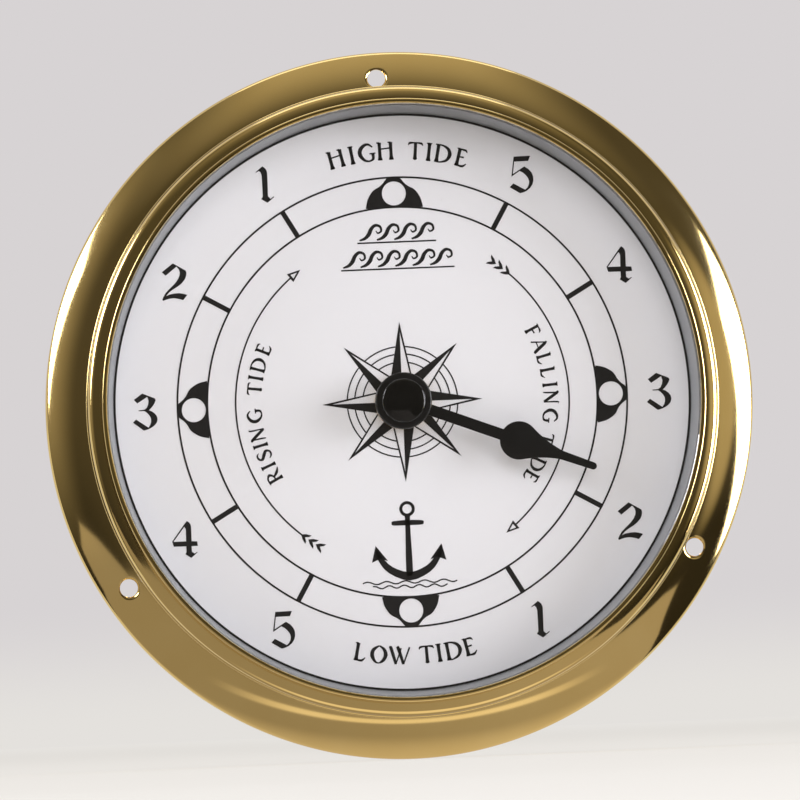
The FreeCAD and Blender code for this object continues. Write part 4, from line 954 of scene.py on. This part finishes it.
# A glowing sheet seen only in the brass, a painted reflection of a lamp-lit white board: a warm
# glow, brighter by the clock's foot and at its sides, with one painted bright line.
painted_card_glow, tree, shader, spots = surface("painted_reflection_glow")
parts = node(tree, "SeparateXYZ", links={0: spots})
ahead = parts.outputs[1]
off_middle = node(tree, "Math", {1: CARD_MIDDLE}, {0: parts.outputs[0]}, operation="ADD")
off_middle, across = (node(tree, "Math", links={0: source}, operation="ABSOLUTE")
                      for source in (off_middle, parts.outputs[0]))
# Painted reflection: the glow rises by the clock's foot and at the card's sides, and one bright
# line is painted across it.
fades = []
for source, start, end, low, high in ((ahead, -0.006, 0.002, CARD_LEVEL, CARD_LEVEL + PAINTED_FOOT_LEVEL),
                                      (off_middle, 0.04, 0.11, 0.0, PAINTED_SIDE_LEVEL),
                                      (ahead, -0.027, -0.022, 0.0, PAINTED_LINE_LEVEL),
                                      (ahead, -0.018, -0.0145, 1.0, 0.0),
                                      (across, 0.018, 0.045, 1.0, 0.0)):
    fades.append(node(tree, "MapRange", {"From Min": start, "From Max": end, "To Min": low,
                                         "To Max": high},
                      {"Value": source}, interpolation_type="SMOOTHSTEP"))
by_foot, by_side, line, *line_ends = fades
for fade in line_ends:
    line = node(tree, "Math", links={0: line, 1: fade}, operation="MULTIPLY")
total = by_foot
for part in (by_side, line):
    total = node(tree, "Math", links={0: total, 1: part}, operation="ADD")
# Painted reflection: the card gives off its own light and is not lit by the lamps.
lit = node(tree, "Emission", {"Color": colour("fff3ea")}, {"Strength": total})
fit(tree, tree.nodes["Material Output"], links={"Surface": lit})
card = laid_flat("reflection_card", CARD_POINTS, painted_card_glow)
card.visible_camera = card.visible_diffuse = card.visible_transmission = False
card.visible_shadow = False
print(card.name)

# %% Room light
BELOW_LEVEL, ROOM_LEVEL, CEILING_LEVEL = 0.03, 0.085, 0.46
SPILL_LEVEL, HAZE_LEVEL = 0.3, 0.42
SPILL_WAY, HAZE_WAY = (-0.91, -0.26, 0.33), (0.613, -0.788, 0.054)
BEHIND, WALL_FOOT = 0.05, 0.016
world = bpy.data.worlds.new("studio_room")
bpy.context.scene.world = world
world.use_nodes = True
tree = world.node_tree
back = tree.nodes["Background"]
way = node(tree, "TexCoord").outputs["Generated"]
ways = node(tree, "SeparateXYZ", links={0: way})
up = ways.outputs[2]
aside = node(tree, "Math", links={0: ways.outputs[0]}, operation="ABSOLUTE")
to_spill, to_haze = (node(tree, "VectorMath", {1: aim}, {0: way}, operation="DOT_PRODUCT")
                     for aim in (SPILL_WAY, HAZE_WAY))
fades = []
for source, start, end, low, high, kind in (
        (up, -0.25, 0.05, BELOW_LEVEL, ROOM_LEVEL, "LINEAR"),
        (up, 0.33, 1.0, 0.0, CEILING_LEVEL, "LINEAR"),
        (aside, 0.22, 0.6, 1.0, 0.0, "SMOOTHSTEP"),
        (to_spill.outputs["Value"], 0.68, 1.0, 0.0, 1.0, "LINEAR"),
        (to_haze.outputs["Value"], 0.955, 0.99, 0.0, HAZE_LEVEL, "SMOOTHSTEP"),
        (up, 0.0, WALL_FOOT, 0.0, 1.0, "SMOOTHSTEP")):
    fades.append(node(tree, "MapRange", {"From Min": start, "From Max": end, "To Min": low,
                                         "To Max": high},
                      {"Value": source}, interpolation_type=kind))
total, high, narrow, spill, haze, above = fades
ceiling = node(tree, "Math", links={0: high, 1: narrow}, operation="MULTIPLY")
spill = node(tree, "Math", {1: 2.0}, {0: spill}, operation="POWER")
spill = node(tree, "Math", {1: SPILL_LEVEL}, {0: spill}, operation="MULTIPLY")
for part in (ceiling, spill, haze):
    total = node(tree, "Math", links={0: total, 1: part}, operation="ADD")
fit(tree, back, {"Color": colour("fff2dc")}, {"Strength": total})
wall = node(tree, "Mix", {6: colour(MEETING_TONE), 7: colour(WALL_TONE)}, {0: above},
            data_type="RGBA")
pale = node(tree, "Background", {"Strength": 1.0}, {"Color": wall.outputs[2]})
in_metal = node(tree, "LightPath").outputs["Is Glossy Ray"]
behind = node(tree, "Math", {1: BEHIND}, {0: ways.outputs[1]}, operation="GREATER_THAN")
metal = node(tree, "Math", links={0: in_metal, 1: behind}, operation="MULTIPLY")
seen = node(tree, "Math", links={0: seen_directly(tree), 1: metal}, operation="MAXIMUM")
both = node(tree, "MixShader", links={0: seen, 1: back, 2: pale})
fit(tree, tree.nodes["World Output"], links={"Surface": both})
print(world.name)

# %% Lamps
AIM = Vector((0, -0.01, 0))
LAMP_REACH = 1.1
LAMP_TONE = "f9f9ff"


def soft_lamp(name, clock_deg, off_axis_deg, roll_deg, size, watts, in_metal=True):
    """A soft lamp that faces the clock, at a clock angle and off the dial's axis."""
    around, off = math.radians(clock_deg), math.radians(off_axis_deg)
    spot = AIM + LAMP_REACH * Vector((math.sin(off) * math.sin(around), -math.cos(off),
                                      math.sin(off) * math.cos(around)))
    bpy.ops.object.select_all(action="DESELECT")
    bpy.ops.object.light_add(type="AREA", location=spot)
    lamp = bpy.context.object
    lamp.name = name
    lamp.data.shape = "RECTANGLE"
    lamp.data.size, lamp.data.size_y = size
    lamp.data.energy = watts
    lamp.data.color = colour(LAMP_TONE)[:3]
    facing = (AIM - spot).to_track_quat("-Z", "Y").to_matrix()
    lamp.rotation_euler = (facing @ Matrix.Rotation(math.radians(roll_deg), 3, "Z")).to_euler()
    lamp.visible_camera = False
    lamp.visible_glossy = in_metal
    return lamp


lamps = [
    soft_lamp("soft_lamp_right", 88.4, 73.1, 36.1, (0.55, 0.9), 20.5),
    soft_lamp("soft_lamp_left", 291.5, 79.5, 60, (0.5, 0.49), 9.0),
    soft_lamp("fill_over_the_camera", 10, 22, 0, (0.7, 0.7), 5.4, in_metal=False),
    soft_lamp("soft_lamp_over", 0, 100, 0, (0.9, 0.5), 1.5),
]
print("lamps", len(lamps))

# %% [markdown]
# ## Camera
# A long lens stands a little left of the dial's axis and a little below it. It is turned by a
# small angle, as the clock was set down slightly askew.

# %% Camera
# The image is 800 pixels wide, and a metre at the dial takes 6213 of them.
DISTANCE, SENSOR = 1.3, 36
AZIMUTH_DEG, ELEVATION_DEG, ROLL_DEG = -2.25, -2.25, -2.4
SHOWN_WIDTH = 800 / 6213
DIAL_RIGHT, DIAL_DOWN = 2.4 / 6184, 1.9 / 6184
azimuth, elevation = math.radians(AZIMUTH_DEG), math.radians(ELEVATION_DEG)
back_way = Vector((math.sin(azimuth) * math.cos(elevation),
                   -math.cos(azimuth) * math.cos(elevation), math.sin(elevation)))
bpy.ops.object.select_all(action="DESELECT")
bpy.ops.object.camera_add(location=(0, 0, 0))
camera = bpy.context.object
camera.name = "camera"
camera.data.sensor_width = SENSOR
camera.data.lens = SENSOR * DISTANCE / SHOWN_WIDTH
facing = (-back_way).to_track_quat("-Z", "Y").to_matrix()
facing = facing @ Matrix.Rotation(math.radians(ROLL_DEG), 3, "Z")
right, up = facing.col[0], facing.col[1]
dial_centre = place(0, 0, DIAL_H)
target = dial_centre - right * DIAL_RIGHT + up * DIAL_DOWN
camera.matrix_world = Matrix.Translation(target + back_way * DISTANCE) @ facing.to_4x4()
bpy.context.scene.camera = camera
bpy.context.scene.view_settings.view_transform = "Standard"
print("camera at", [round(v, 4) for v in camera.location])

# %% Sizes, and the end
low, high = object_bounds()
print("visual box in mm", [round(1000 * (b - a), 2) for a, b in zip(low, high)])
